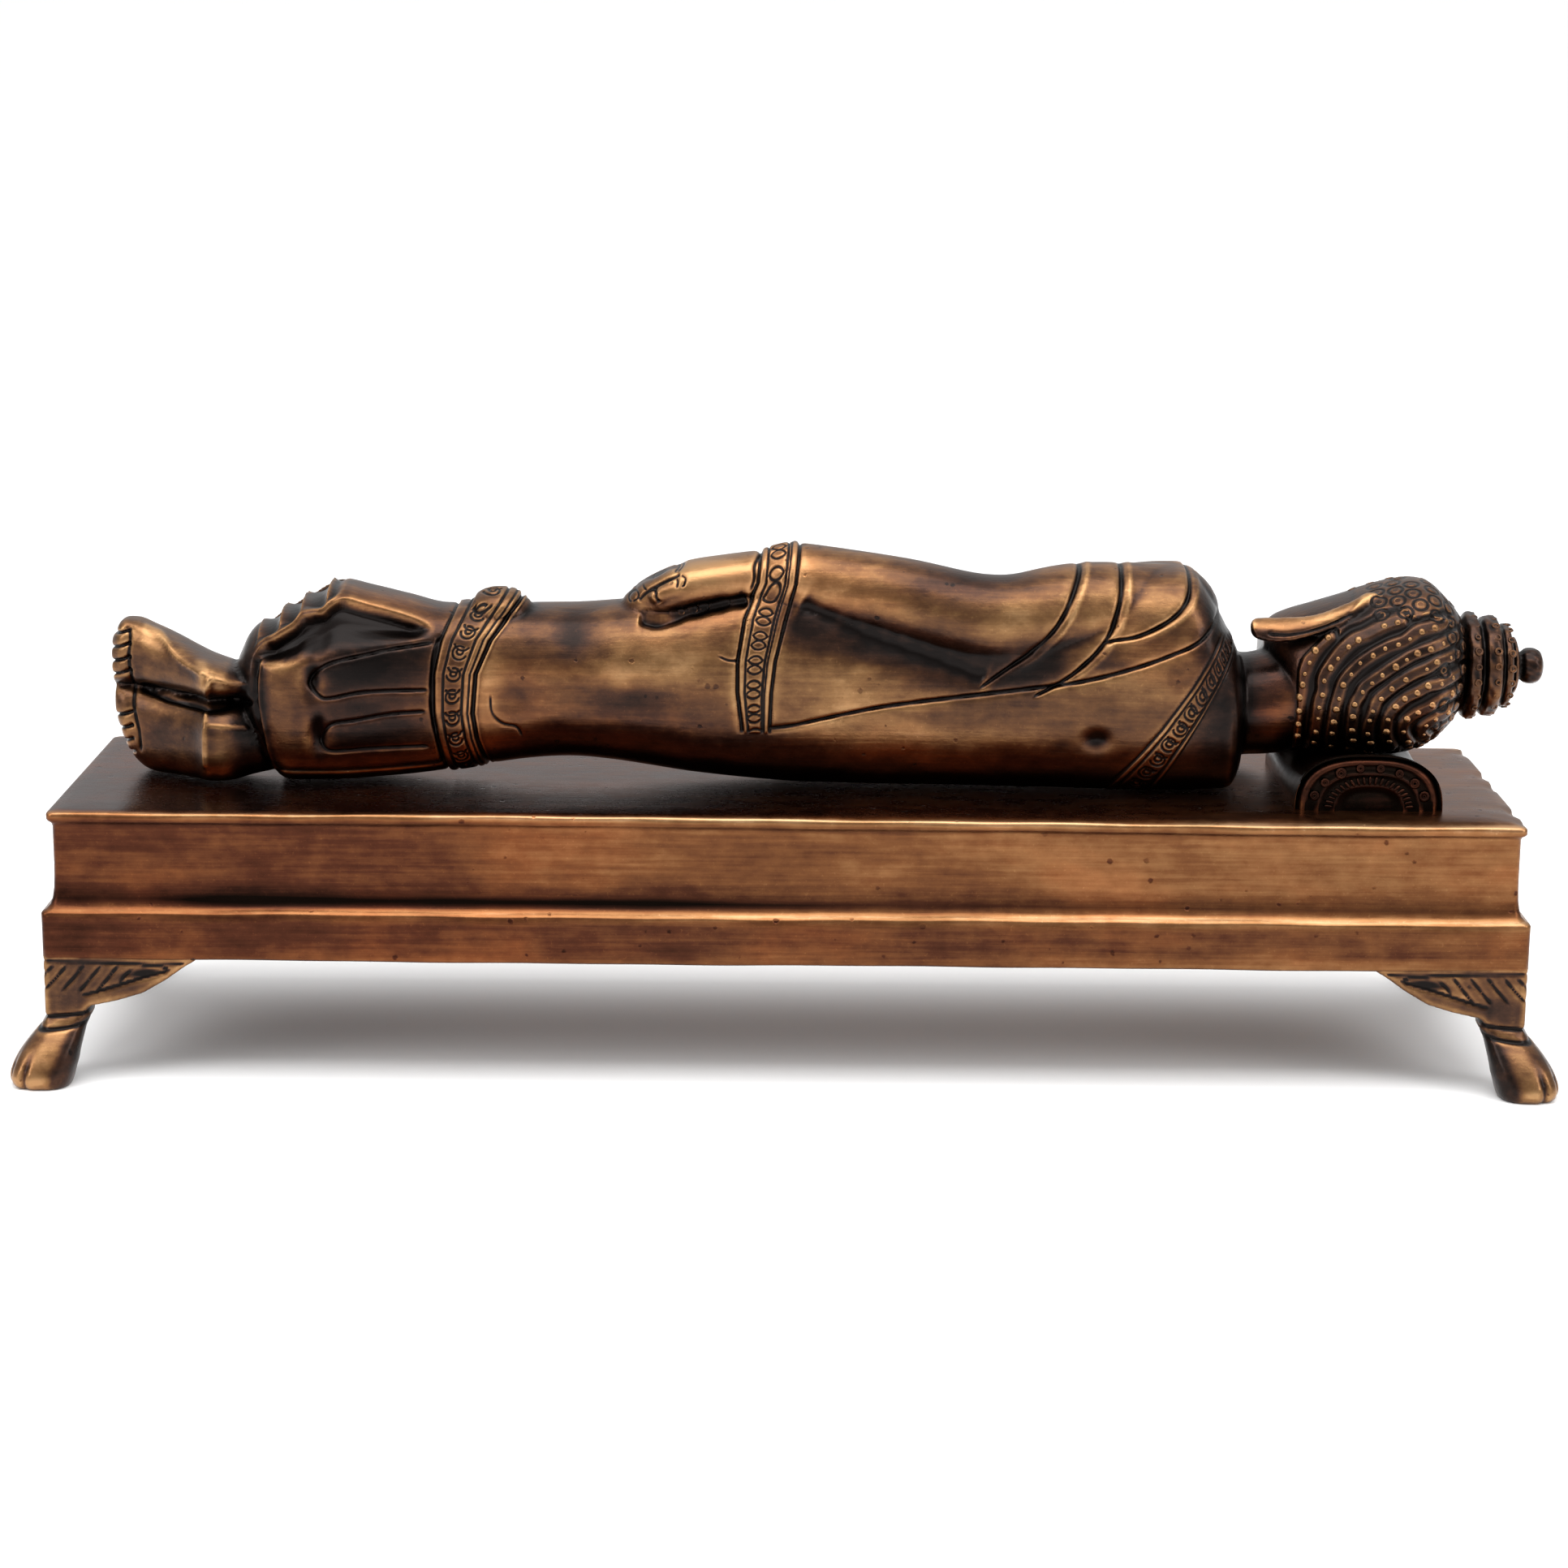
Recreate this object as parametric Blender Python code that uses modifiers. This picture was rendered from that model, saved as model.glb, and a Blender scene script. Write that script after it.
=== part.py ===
"""Reclining figure of the Buddha on a four-footed couch, two bronze castings.

Frame: origin on the floor under the middle of the couch, +X towards the head, +Z up.
The figure's back faces -Y and its face looks to +Y. Sizes are in metres.

The couch stands on its own sizes. The figure is a free form: its tables are drawn on
a grid of GRID units from the toes to the tip of the finial, and its height above the
couch top is counted in the same units, so its carving is a share of FIGURE_LENGTH.
"""

import math

import bmesh
import bpy
import numpy as np
from mathutils import Matrix, Vector

# The couch.
COUCH_LENGTH = 0.317
COUCH_DEPTH = 0.078
COUCH_HEIGHT = 0.060
COUCH_CORNER = 0.0016
LEG_HEIGHT = 0.0278
APRON_HEIGHT = 0.0104
APRON_OUT = 0.0015
WAIST_IN = 0.0011
LIP_HEIGHT = 0.0024
SIDE_WALL = 0.004
TOP_WALL = 0.005

# Each leg: a corner block, two carved brackets and a paw that steps out at the corner.
BRACKET_LENGTH = 0.033
BRACKET_THICK = 0.005
BRACKET_DROP = 0.0108
ANKLE_WIDTH = 0.0098
PAW_OUT = 0.0074
PAW_WIDTH = 0.0140
PAW_SIDES = 24
SKIN = 0.0002
STROKE_COUNT = 5
STROKE_PITCH = 0.0038
STROKE_DEPTH = 0.0005
STROKE_WIDTH = 0.0009

# The pillow is cast with the couch, a half-round bolster with its axis along Y. It is
# sized to the head that lies on it, so it is counted in the figure's grid units.
PILLOW_X = 126.0
PILLOW_WIDTH = 32.0
PILLOW_HEIGHT = 12.0
PILLOW_BACK = -28.0
PILLOW_FRONT = 22.0
PILLOW_DISH = 3.8
PILLOW_RIB_DEPTH = 0.7
PILLOW_RIBS = 9

# The figure, and the gap that keeps it off the couch and the pillow.
FIGURE_LENGTH = 0.318
FIGURE_X = 0.0
REST_GAP = 0.0003
GRID = 318.0
FIGURE_FACES = 6000
VOXEL = 0.9

UNIT = FIGURE_LENGTH / GRID

# Trunk sections: x, lowest z, highest z, back y, front y, squareness.
TRUNK = (
    (-121.8, 18.0, 27.4, -8.0, 8.0, 2.2),
    (-119.4, 12.0, 32.2, -11.5, 10.0, 2.3),
    (-116.0, 5.0, 35.2, -14.2, 11.5, 2.4),
    (-112.6, 0.4, 37.6, -15.8, 12.5, 2.6),
    (-106.3, -0.3, 41.0, -16.6, 13.2, 2.8),
    (-99.4, -0.2, 44.2, -16.7, 13.6, 2.8),
    (-92.0, 0.4, 42.7, -16.2, 13.6, 2.8),
    (-84.0, 1.0, 40.8, -15.6, 13.2, 2.7),
    (-75.5, 2.2, 39.0, -15.2, 12.8, 2.6),
    (-66.0, 3.5, 39.5, -15.2, 12.8, 2.5),
    (-57.0, 4.8, 39.2, -15.2, 13.0, 2.4),
    (-48.0, 5.3, 39.3, -15.4, 13.4, 2.4),
    (-39.0, 4.6, 40.0, -15.9, 13.8, 2.4),
    (-30.0, 3.5, 40.9, -16.4, 14.0, 2.4),
    (-21.0, 2.1, 42.0, -16.9, 14.3, 2.5),
    (-12.0, 1.1, 44.4, -17.3, 14.6, 2.5),
    (-3.0, 0.4, 46.6, -17.6, 14.8, 2.5),
    (8.0, -0.1, 46.2, -17.4, 15.0, 2.5),
    (22.0, -0.3, 43.8, -17.2, 15.0, 2.5),
    (36.0, -0.5, 42.4, -17.4, 15.2, 2.5),
    (50.0, -0.7, 44.0, -18.0, 15.6, 2.5),
    (64.0, -0.9, 47.2, -18.9, 16.2, 2.6),
    (78.0, -1.1, 49.4, -19.6, 16.8, 2.7),
    (86.5, -1.1, 49.6, -19.7, 16.8, 2.7),
    (91.2, -0.8, 45.8, -19.2, 16.0, 2.7),
    (95.2, -0.4, 38.8, -18.2, 14.6, 2.6),
    (98.6, 0.6, 32.2, -16.4, 12.6, 2.5),
    (100.2, 3.6, 28.6, -13.0, 9.8, 2.3),
)

# Head sections, from the jaw to the crown, in the same columns.
HEAD = (
    (105.4, 17.0, 34.0, -3.0, 11.0, 2.2),
    (107.6, 13.0, 36.8, -8.0, 14.6, 2.2),
    (111.0, 9.6, 38.7, -12.4, 16.6, 2.2),
    (116.0, 8.0, 40.4, -15.4, 17.6, 2.2),
    (122.0, 7.6, 42.4, -17.8, 18.2, 2.2),
    (129.0, 7.5, 44.8, -19.5, 18.4, 2.2),
    (134.4, 7.9, 46.3, -20.2, 17.8, 2.2),
    (138.2, 8.9, 46.6, -20.0, 16.4, 2.2),
    (141.6, 10.4, 45.6, -19.0, 14.6, 2.2),
    (144.4, 12.8, 43.0, -17.2, 12.2, 2.2),
    (147.2, 16.2, 39.8, -14.0, 9.4, 2.2),
    (149.6, 19.5, 35.5, -9.0, 6.0, 2.1),
)

# The two feet, soles to the back, from the ankle inside the hem to the toes.
LOWER_FOOT = (
    (-110.0, 2.0, 17.0, -9.0, 7.0, 2.3),
    (-119.5, 0.6, 17.6, -11.8, 6.0, 2.4),
    (-124.0, -0.4, 18.0, -14.2, 5.0, 2.6),
    (-127.6, -0.5, 18.2, -14.6, 5.4, 2.7),
    (-131.0, -0.5, 18.4, -11.6, 7.4, 2.7),
    (-136.0, -0.4, 18.9, -8.0, 9.4, 2.8),
    (-141.0, -0.2, 19.3, -5.0, 10.6, 2.9),
    (-145.0, 1.4, 19.6, -3.0, 10.8, 2.9),
    (-148.2, 6.0, 19.8, -2.0, 9.6, 2.9),
    (-150.2, 12.4, 19.8, -0.4, 7.4, 2.7),
)
UPPER_FOOT = (
    (-110.0, 18.0, 25.4, -9.0, 6.0, 2.3),
    (-119.5, 18.6, 25.0, -11.8, 5.0, 2.4),
    (-124.0, 18.8, 26.4, -14.2, 4.4, 2.6),
    (-127.6, 18.9, 27.6, -14.6, 5.0, 2.7),
    (-131.0, 19.0, 28.8, -11.6, 6.6, 2.7),
    (-136.0, 19.3, 31.0, -8.0, 8.2, 2.8),
    (-141.0, 19.6, 33.0, -5.0, 9.0, 2.9),
    (-145.4, 19.8, 34.6, -3.0, 8.8, 2.9),
    (-148.6, 19.9, 34.0, -2.2, 7.8, 2.9),
    (-150.6, 20.2, 30.4, -0.6, 6.2, 2.6),
)
SOLE_SPLIT = 19.7

# The topknot is turned about the head's long axis: x, radius.
TOPKNOT_Y = -2.0
TOPKNOT_Z = 27.4
TOPKNOT = (
    (145.0, 9.5), (148.6, 10.2), (149.4, 11.5), (151.8, 11.5), (152.5, 9.8),
    (153.6, 10.9), (156.4, 10.6), (157.2, 8.5), (158.0, 9.1), (159.2, 8.5),
    (159.8, 5.8), (160.3, 6.3), (161.2, 5.6), (161.8, 2.9), (162.5, 3.3),
    (164.3, 3.9), (166.2, 3.4), (167.5, 1.6),
)

# Limbs as tubes: x, y, z, radius.
LEFT_ARM = (
    (84.0, -3.0, 38.6, 11.0), (64.0, -7.0, 39.2, 11.2), (46.0, -9.4, 37.8, 10.2),
    (22.0, -8.0, 42.4, 9.2), (0.0, -5.5, 45.4, 8.8), (-8.0, -4.5, 45.8, 6.0),
    (-17.0, -4.5, 45.4, 5.2), (-24.0, -4.5, 44.4, 3.9),
)
RIGHT_ARM = (
    (90.0, 4.0, 10.0, 9.6), (82.0, 18.0, 9.4, 8.4), (80.0, 26.0, 7.4, 7.0),
    (90.0, 26.0, 6.0, 6.2), (104.0, 19.5, 7.6, 5.2), (113.0, 14.5, 10.6, 4.2),
)
RIGHT_HAND = ((112.0, 14.0, 11.4, 4.4), (120.0, 12.0, 12.4, 5.0), (128.0, 12.0, 12.2, 3.4))
FINGER_RADIUS = 2.15
FINGER_SPREAD = (-10.4, -6.6, -2.8, 1.0)
FINGER_DIP = (1.7, 0.6, 0.0, 0.3)
FINGER_TIP = (0.0, -2.6, -3.2, -1.6)
FINGER_BEND = ((-14.0, 48.0), (-22.5, 46.4), (-28.6, 43.5), (-32.2, 40.4))
RIGHT_FINGERS_Z = (9.6, 11.6, 13.6, 15.4)
KNOT = (-63.6, -3.0, 38.0)
KNOT_RADII = (7.2, 7.0, 4.9)
NECK = ((92.0, -1.0, 18.6, 12.2), (102.0, -1.0, 18.2, 11.4), (109.0, -1.0, 19.2, 11.8), (120.0, -1.0, 23.0, 12.6))

# Ear: x, y, z and half width along its slant; the slab lies 45 degrees back from the cheek.
EAR = (
    (129.2, -8.0, 42.6, 0.9), (127.4, -9.2, 41.8, 2.8), (122.0, -11.6, 39.8, 4.4),
    (115.0, -12.0, 37.0, 3.4), (108.0, -10.6, 36.2, 2.9), (103.6, -9.2, 36.4, 2.2), (101.8, -8.8, 36.6, 0.9),
)
EAR_THICK = 1.35
HEAD_MID_Z = 26.8

# Face: a plain canon of thirds between the chin and the hairline. Rows: x, y, z off the
# middle, radii along x, y and z; a row off the middle is made on both sides.
CHIN_X = 107.0
HAIRLINE_X = 136.0
THIRD = (HAIRLINE_X - CHIN_X) / 3
FACE = (
    (CHIN_X + 2.6, 14.4, 0.0, 3.4, 3.4, 4.6),
    (CHIN_X + THIRD * 0.64, 17.4, 0.0, 1.0, 1.5, 3.9),
    (CHIN_X + THIRD * 0.78, 17.7, 0.0, 0.9, 1.3, 4.3),
    (CHIN_X + THIRD * 1.18, 19.6, 0.0, 1.7, 2.5, 2.1),
    (CHIN_X + THIRD * 1.14, 18.6, 2.2, 1.3, 1.5, 1.3),
    (CHIN_X + THIRD * 1.62, 18.4, 0.0, 5.4, 2.2, 1.5),
    (CHIN_X + THIRD * 1.86, 16.6, 6.0, 1.7, 1.5, 3.4),
    (CHIN_X + THIRD * 1.10, 13.6, 7.4, 4.2, 3.2, 4.4),
)

# Carved lines as seen from the back, x and z. Each: depth, half width, how far round, points.
FOLDS = (
    (0.95, 1.15, 0.1, ((63.7, 51.3), (60.9, 43.4), (57.5, 37.1), (53.1, 32.5), (47.9, 28.8), (41.7, 24.2))),
    (0.95, 1.15, 0.1, ((72.7, 52.0), (72.0, 43.5), (69.9, 37.2), (66.5, 32.1), (60.4, 26.6), (53.4, 22.5))),
    (0.90, 1.10, 0.1, ((87.8, 50.0), (86.9, 44.6), (83.2, 39.1), (76.2, 34.0), (68.3, 31.7))),
    (0.85, 1.05, 0.0, ((-4.0, 14.7), (1.7, 15.5), (14.0, 18.4), (22.8, 20.1), (40.5, 22.6), (58.1, 25.1),
                       (66.9, 26.8), (75.6, 29.4), (82.6, 32.0), (89.5, 35.3), (94.5, 40.5))),
    (0.90, 3.60, 0.0, ((2.3, 42.1), (12.0, 37.7), (22.7, 33.4), (33.4, 29.9), (43.2, 26.3))),
    (1.60, 1.70, 0.1, ((-36.5, 38.4), (-29.6, 38.4), (-22.1, 39.4), (-15.5, 41.4), (-8.6, 42.4))),
)
PANELS = (
    ((-77.2, 32.3), (-84.0, 31.6), (-90.8, 30.0), (-97.2, 28.4), (-102.6, 26.4), (-104.6, 23.8), (-103.4, 21.6),
     (-100.0, 21.0), (-91.0, 21.6), (-78.3, 21.7)),
    ((-77.6, 17.1), (-91.0, 16.8), (-100.2, 14.8), (-102.4, 12.6), (-102.6, 10.4), (-101.2, 8.6), (-91.2, 8.6),
     (-77.5, 9.2)),
    ((-112.6, 3.2), (-98.0, 3.0), (-86.0, 3.9), (-76.0, 4.9)),
)
PANEL_DEPTH = 0.75
PANEL_HALF = 0.95

# Bands that run round the body: the two edges as x at heights z, so they wrap to the front.
HIP_BAND = ((56.0, -5.8, 2.5), (46.2, -6.6, 1.4), (38.6, -9.5, -0.7), (29.6, -10.9, -2.9), (22.7, -10.9, -3.7),
            (14.6, -9.9, -4.0))
SHIN_BAND = ((43.0, -71.2, -56.5), (33.0, -75.8, -64.4), (25.8, -77.3, -67.6), (17.0, -77.4, -68.4),
             (11.3, -76.8, -67.6), (3.0, -75.0, -65.2))
SHOULDER_BAND = ((40.0, 96.4, 102.6), (33.5, 93.1, 98.4), (25.0, 88.0, 93.8), (15.4, 81.4, 88.6), (1.1, 70.3, 80.8))
BAND_RAISE = 0.55
BAND_GROOVE = 0.55

# Soft hollows: x, z, half length, half height, depth.
DIMPLES = (
    (-61.8, 19.4, 3.6, 4.6, 1.3), (-49.0, 35.2, 2.6, 1.8, 0.8), (-53.0, 12.0, 5.0, 4.0, 0.5),
    (67.5, 13.0, 3.0, 2.2, 1.2), (-92.0, 36.0, 11.0, 2.2, 1.3), (-37.0, 26.0, 4.0, 9.0, -0.5),
)

# Hair: rows of curls are arcs about a line along Y low behind the crown.
HAIR_CENTRE = (149.5, 5.6)
HAIR_PITCH = 3.9
HAIR_RELIEF = 0.55
HAIR_FIRST = 37.7

TOE_COUNT = 5
TOE_DEPTH = 0.8


def clear_scene():
    for old in list(bpy.data.objects):
        bpy.data.objects.remove(old, do_unlink=True)


def make_collection(name, helpers=False):
    made = bpy.data.collections.new(name)
    bpy.context.scene.collection.children.link(made)
    made.hide_render = helpers
    return made


def make_object(name, mesh, home, helper=False):
    made = bpy.data.objects.new(name, mesh)
    home.objects.link(made)
    if helper:
        made.hide_render = True
        made.display_type = "WIRE"
    return made


def bronze(name, colour, roughness, metallic):
    made = bpy.data.materials.new(name)
    made.use_nodes = True
    shader = made.node_tree.nodes["Principled BSDF"]
    shader.inputs["Base Color"].default_value = (*colour, 1.0)
    shader.inputs["Roughness"].default_value = roughness
    shader.inputs["Metallic"].default_value = metallic
    return made


def evaluated_mesh(made):
    """The object's mesh with its modifiers, welded, in its own coordinates."""
    bpy.context.view_layer.update()
    mesh = bpy.data.meshes.new_from_object(made.evaluated_get(bpy.context.evaluated_depsgraph_get()))
    work = bmesh.new()
    work.from_mesh(mesh)
    bmesh.ops.remove_doubles(work, verts=work.verts, dist=1e-7)
    work.to_mesh(mesh)
    work.free()
    return mesh


def bridge(work, rings):
    """Quads between rings of equal count, with both ends closed."""
    made = [[work.verts.new(p) for p in ring] for ring in rings]
    count = len(made[0])
    for first, second in zip(made, made[1:]):
        for i in range(count):
            j = (i + 1) % count
            work.faces.new((first[i], first[j], second[j], second[i]))
    work.faces.new(made[0][::-1])
    work.faces.new(made[-1])


def mesh_of(work, name):
    bmesh.ops.recalc_face_normals(work, faces=work.faces)
    mesh = bpy.data.meshes.new(name)
    work.to_mesh(mesh)
    work.free()
    return mesh


def oval(low_z, high_z, back_y, front_y, squareness, count=36):
    """A rounded section as (y, z) pairs: a superellipse in its box."""
    middle_y = 0.5 * (back_y + front_y)
    middle_z = 0.5 * (low_z + high_z)
    half_y = 0.5 * (front_y - back_y)
    half_z = 0.5 * (high_z - low_z)
    power = 2.0 / squareness
    points = []
    for i in range(count):
        angle = 2 * math.pi * i / count
        c = math.cos(angle)
        s = math.sin(angle)
        y = middle_y + half_y * math.copysign(abs(c) ** power, c)
        z = middle_z + half_z * math.copysign(abs(s) ** power, s)
        points.append((y, z))
    return points


def smooth_rows(rows, step):
    """Rows of a table resampled every step along x with a monotone cubic, so sections flow."""
    table = np.array(sorted(rows))
    x = table[:, 0]
    new_x = np.linspace(x[0], x[-1], max(3, int((x[-1] - x[0]) / step) + 1))
    columns = [new_x]
    for column in table[:, 1:].T:
        slope = np.diff(column) / np.diff(x)
        tangent = np.concatenate([[slope[0]], 0.5 * (slope[1:] + slope[:-1]), [slope[-1]]])
        turned = np.concatenate([[False], slope[1:] * slope[:-1] <= 0, [False]])
        tangent[turned] = 0.0
        k = np.clip(np.searchsorted(x, new_x, side="right") - 1, 0, len(x) - 2)
        h = x[k + 1] - x[k]
        t = (new_x - x[k]) / h
        value = (2 * t**3 - 3 * t**2 + 1) * column[k] + (t**3 - 2 * t**2 + t) * h * tangent[k]
        value += (-2 * t**3 + 3 * t**2) * column[k + 1] + (t**3 - t**2) * h * tangent[k + 1]
        columns.append(value)
    return np.stack(columns, axis=1)


def add_sections(work, rows, step=2.0):
    rings = []
    for x, low_z, high_z, back_y, front_y, squareness in smooth_rows(rows, step):
        rings.append([(x, y, z) for y, z in oval(low_z, high_z, back_y, front_y, squareness)])
    bridge(work, rings)


def add_turned(work, profile, y, z, count=32):
    rings = []
    for x, radius in profile:
        ring = []
        for i in range(count):
            angle = 2 * math.pi * i / count
            ring.append((x, y + radius * math.cos(angle), z + radius * math.sin(angle)))
        rings.append(ring)
    bridge(work, rings)


def add_ball(work, centre, radii):
    place = Matrix.Translation(centre) @ Matrix.Diagonal((*radii, 1.0))
    bmesh.ops.create_uvsphere(work, u_segments=20, v_segments=12, radius=1.0, matrix=place)


def add_tube(work, points):
    """A tapering limb: a curve with a round bevel, made a mesh, with a ball at each end."""
    curve = bpy.data.curves.new("limb", "CURVE")
    curve.dimensions = "3D"
    curve.bevel_depth = 1.0
    curve.bevel_resolution = 5
    curve.resolution_u = 8
    curve.use_fill_caps = True
    spline = curve.splines.new("BEZIER")
    spline.bezier_points.add(len(points) - 1)
    for knot, (x, y, z, radius) in zip(spline.bezier_points, points):
        knot.co = (x, y, z)
        knot.radius = radius
        knot.handle_left_type = "AUTO"
        knot.handle_right_type = "AUTO"
    holder = bpy.data.objects.new("limb", curve)
    bpy.context.scene.collection.objects.link(holder)
    mesh = evaluated_mesh(holder)
    bpy.data.objects.remove(holder, do_unlink=True)
    work.from_mesh(mesh)
    bpy.data.meshes.remove(mesh)
    for x, y, z, radius in (points[0], points[-1]):
        add_ball(work, (x, y, z), (radius, radius, radius))


def add_ear(work, mirror):
    """A long flat ear. The lower one is the upper one mirrored about the head's middle."""
    rings = []
    for x, y, z, half in smooth_rows(EAR, 1.5):
        across = Vector((0.0, -0.7071, -0.7071))
        out = Vector((0.0, -0.7071, 0.7071))
        ring = []
        for i in range(16):
            angle = 2 * math.pi * i / 16
            p = Vector((x, y, z)) + across * (half * math.cos(angle)) + out * (EAR_THICK * math.sin(angle))
            if mirror:
                p = Vector((p.x, p.y + 12.0, 2 * HEAD_MID_Z - p.z + 1.5))
            ring.append(p)
        rings.append(ring)
    bridge(work, rings)


def figure_form():
    """All the overlapping forms of the figure in one mesh, in grid units."""
    work = bmesh.new()
    add_sections(work, TRUNK)
    add_sections(work, HEAD)
    add_sections(work, LOWER_FOOT)
    add_sections(work, UPPER_FOOT)
    add_ball(work, KNOT, KNOT_RADII)
    add_turned(work, TOPKNOT, TOPKNOT_Y, TOPKNOT_Z)
    for limb in (NECK, LEFT_ARM, RIGHT_ARM, RIGHT_HAND):
        add_tube(work, limb)
    for y, dip, tip in zip(FINGER_SPREAD, FINGER_DIP, FINGER_TIP):
        add_tube(work, [(x + (tip if i > 1 else 0.0), y, z - dip, FINGER_RADIUS - 0.18 * i)
                        for i, (x, z) in enumerate(FINGER_BEND)])
    for i, z in enumerate(RIGHT_FINGERS_Z):
        add_tube(work, [(122.0, 13.4, z, 1.9), (132.0 - 0.8 * abs(i - 1.5), 14.6 - 0.4 * i, z, 1.5)])
    for x, y, z, rx, ry, rz in FACE:
        for side in ((1,) if z == 0 else (1, -1)):
            add_ball(work, (x, y, HEAD_MID_Z + side * z), (rx, ry, rz))
    add_ear(work, False)
    add_ear(work, True)
    return mesh_of(work, "figure_form")


def vertex_array(mesh):
    points = np.empty(len(mesh.vertices) * 3, np.float32)
    mesh.vertices.foreach_get("co", points)
    return points.reshape(-1, 3).astype(np.float64)


def normal_array(mesh):
    normals = np.empty(len(mesh.vertices) * 3, np.float32)
    mesh.vertex_normals.foreach_get("vector", normals)
    return normals.reshape(-1, 3).astype(np.float64)


def relax(mesh, rounds):
    """Evens out the voxel steps: each point moves half way to the mean of its neighbours."""
    points = vertex_array(mesh)
    edges = np.empty(len(mesh.edges) * 2, np.int32)
    mesh.edges.foreach_get("vertices", edges)
    edges = edges.reshape(-1, 2)
    count = np.bincount(edges.ravel(), minlength=len(points)).reshape(-1, 1)
    for turn in range(rounds):
        total = np.zeros_like(points)
        for axis in range(3):
            total[:, axis] += np.bincount(edges[:, 0], points[edges[:, 1], axis], len(points))
            total[:, axis] += np.bincount(edges[:, 1], points[edges[:, 0], axis], len(points))
        share = 0.5 if turn % 2 == 0 else -0.52
        points += share * (total / np.maximum(count, 1) - points)
    mesh.vertices.foreach_set("co", points.astype(np.float32).ravel())
    mesh.update()


def distance_to_line(x, z, points):
    best = np.full(len(x), 1e9)
    for (ax, az), (bx, bz) in zip(points, points[1:]):
        dx = bx - ax
        dz = bz - az
        t = np.clip(((x - ax) * dx + (z - az) * dz) / (dx * dx + dz * dz), 0.0, 1.0)
        best = np.minimum(best, np.hypot(x - ax - t * dx, z - az - t * dz))
    return best


def groove(distance, half_width):
    """1 on the line, 0 beyond the half width, with round shoulders."""
    t = np.clip(distance / half_width, 0.0, 1.0)
    return 0.5 + 0.5 * np.cos(math.pi * t)


def ramp(value, low, high):
    t = np.clip((value - low) / (high - low), 0.0, 1.0)
    return t * t * (3 - 2 * t)


def band_place(x, z, band):
    """Across the band: 0 on its first edge and 1 on the second; and the band's width there."""
    heights, first, second = np.array(sorted(band)).T
    left = np.interp(z, heights, first)
    right = np.interp(z, heights, second)
    return (x - left) / (right - left), right - left


def band_relief(x, z, band, inside):
    across, width = band_place(x, z, band)
    from_left = across * width
    from_right = (1 - across) * width
    rise = ramp(from_left, -0.4, 0.5) * ramp(from_right, -0.4, 0.5) * BAND_RAISE
    cut = groove(np.abs(from_left - 1.6), 0.7) + groove(np.abs(from_right - 1.6), 0.7)
    edge = groove(np.abs(from_left + 0.6), 0.8) + groove(np.abs(from_right + 0.6), 0.8)
    return inside * (rise - BAND_GROOVE * (cut + edge))


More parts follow.
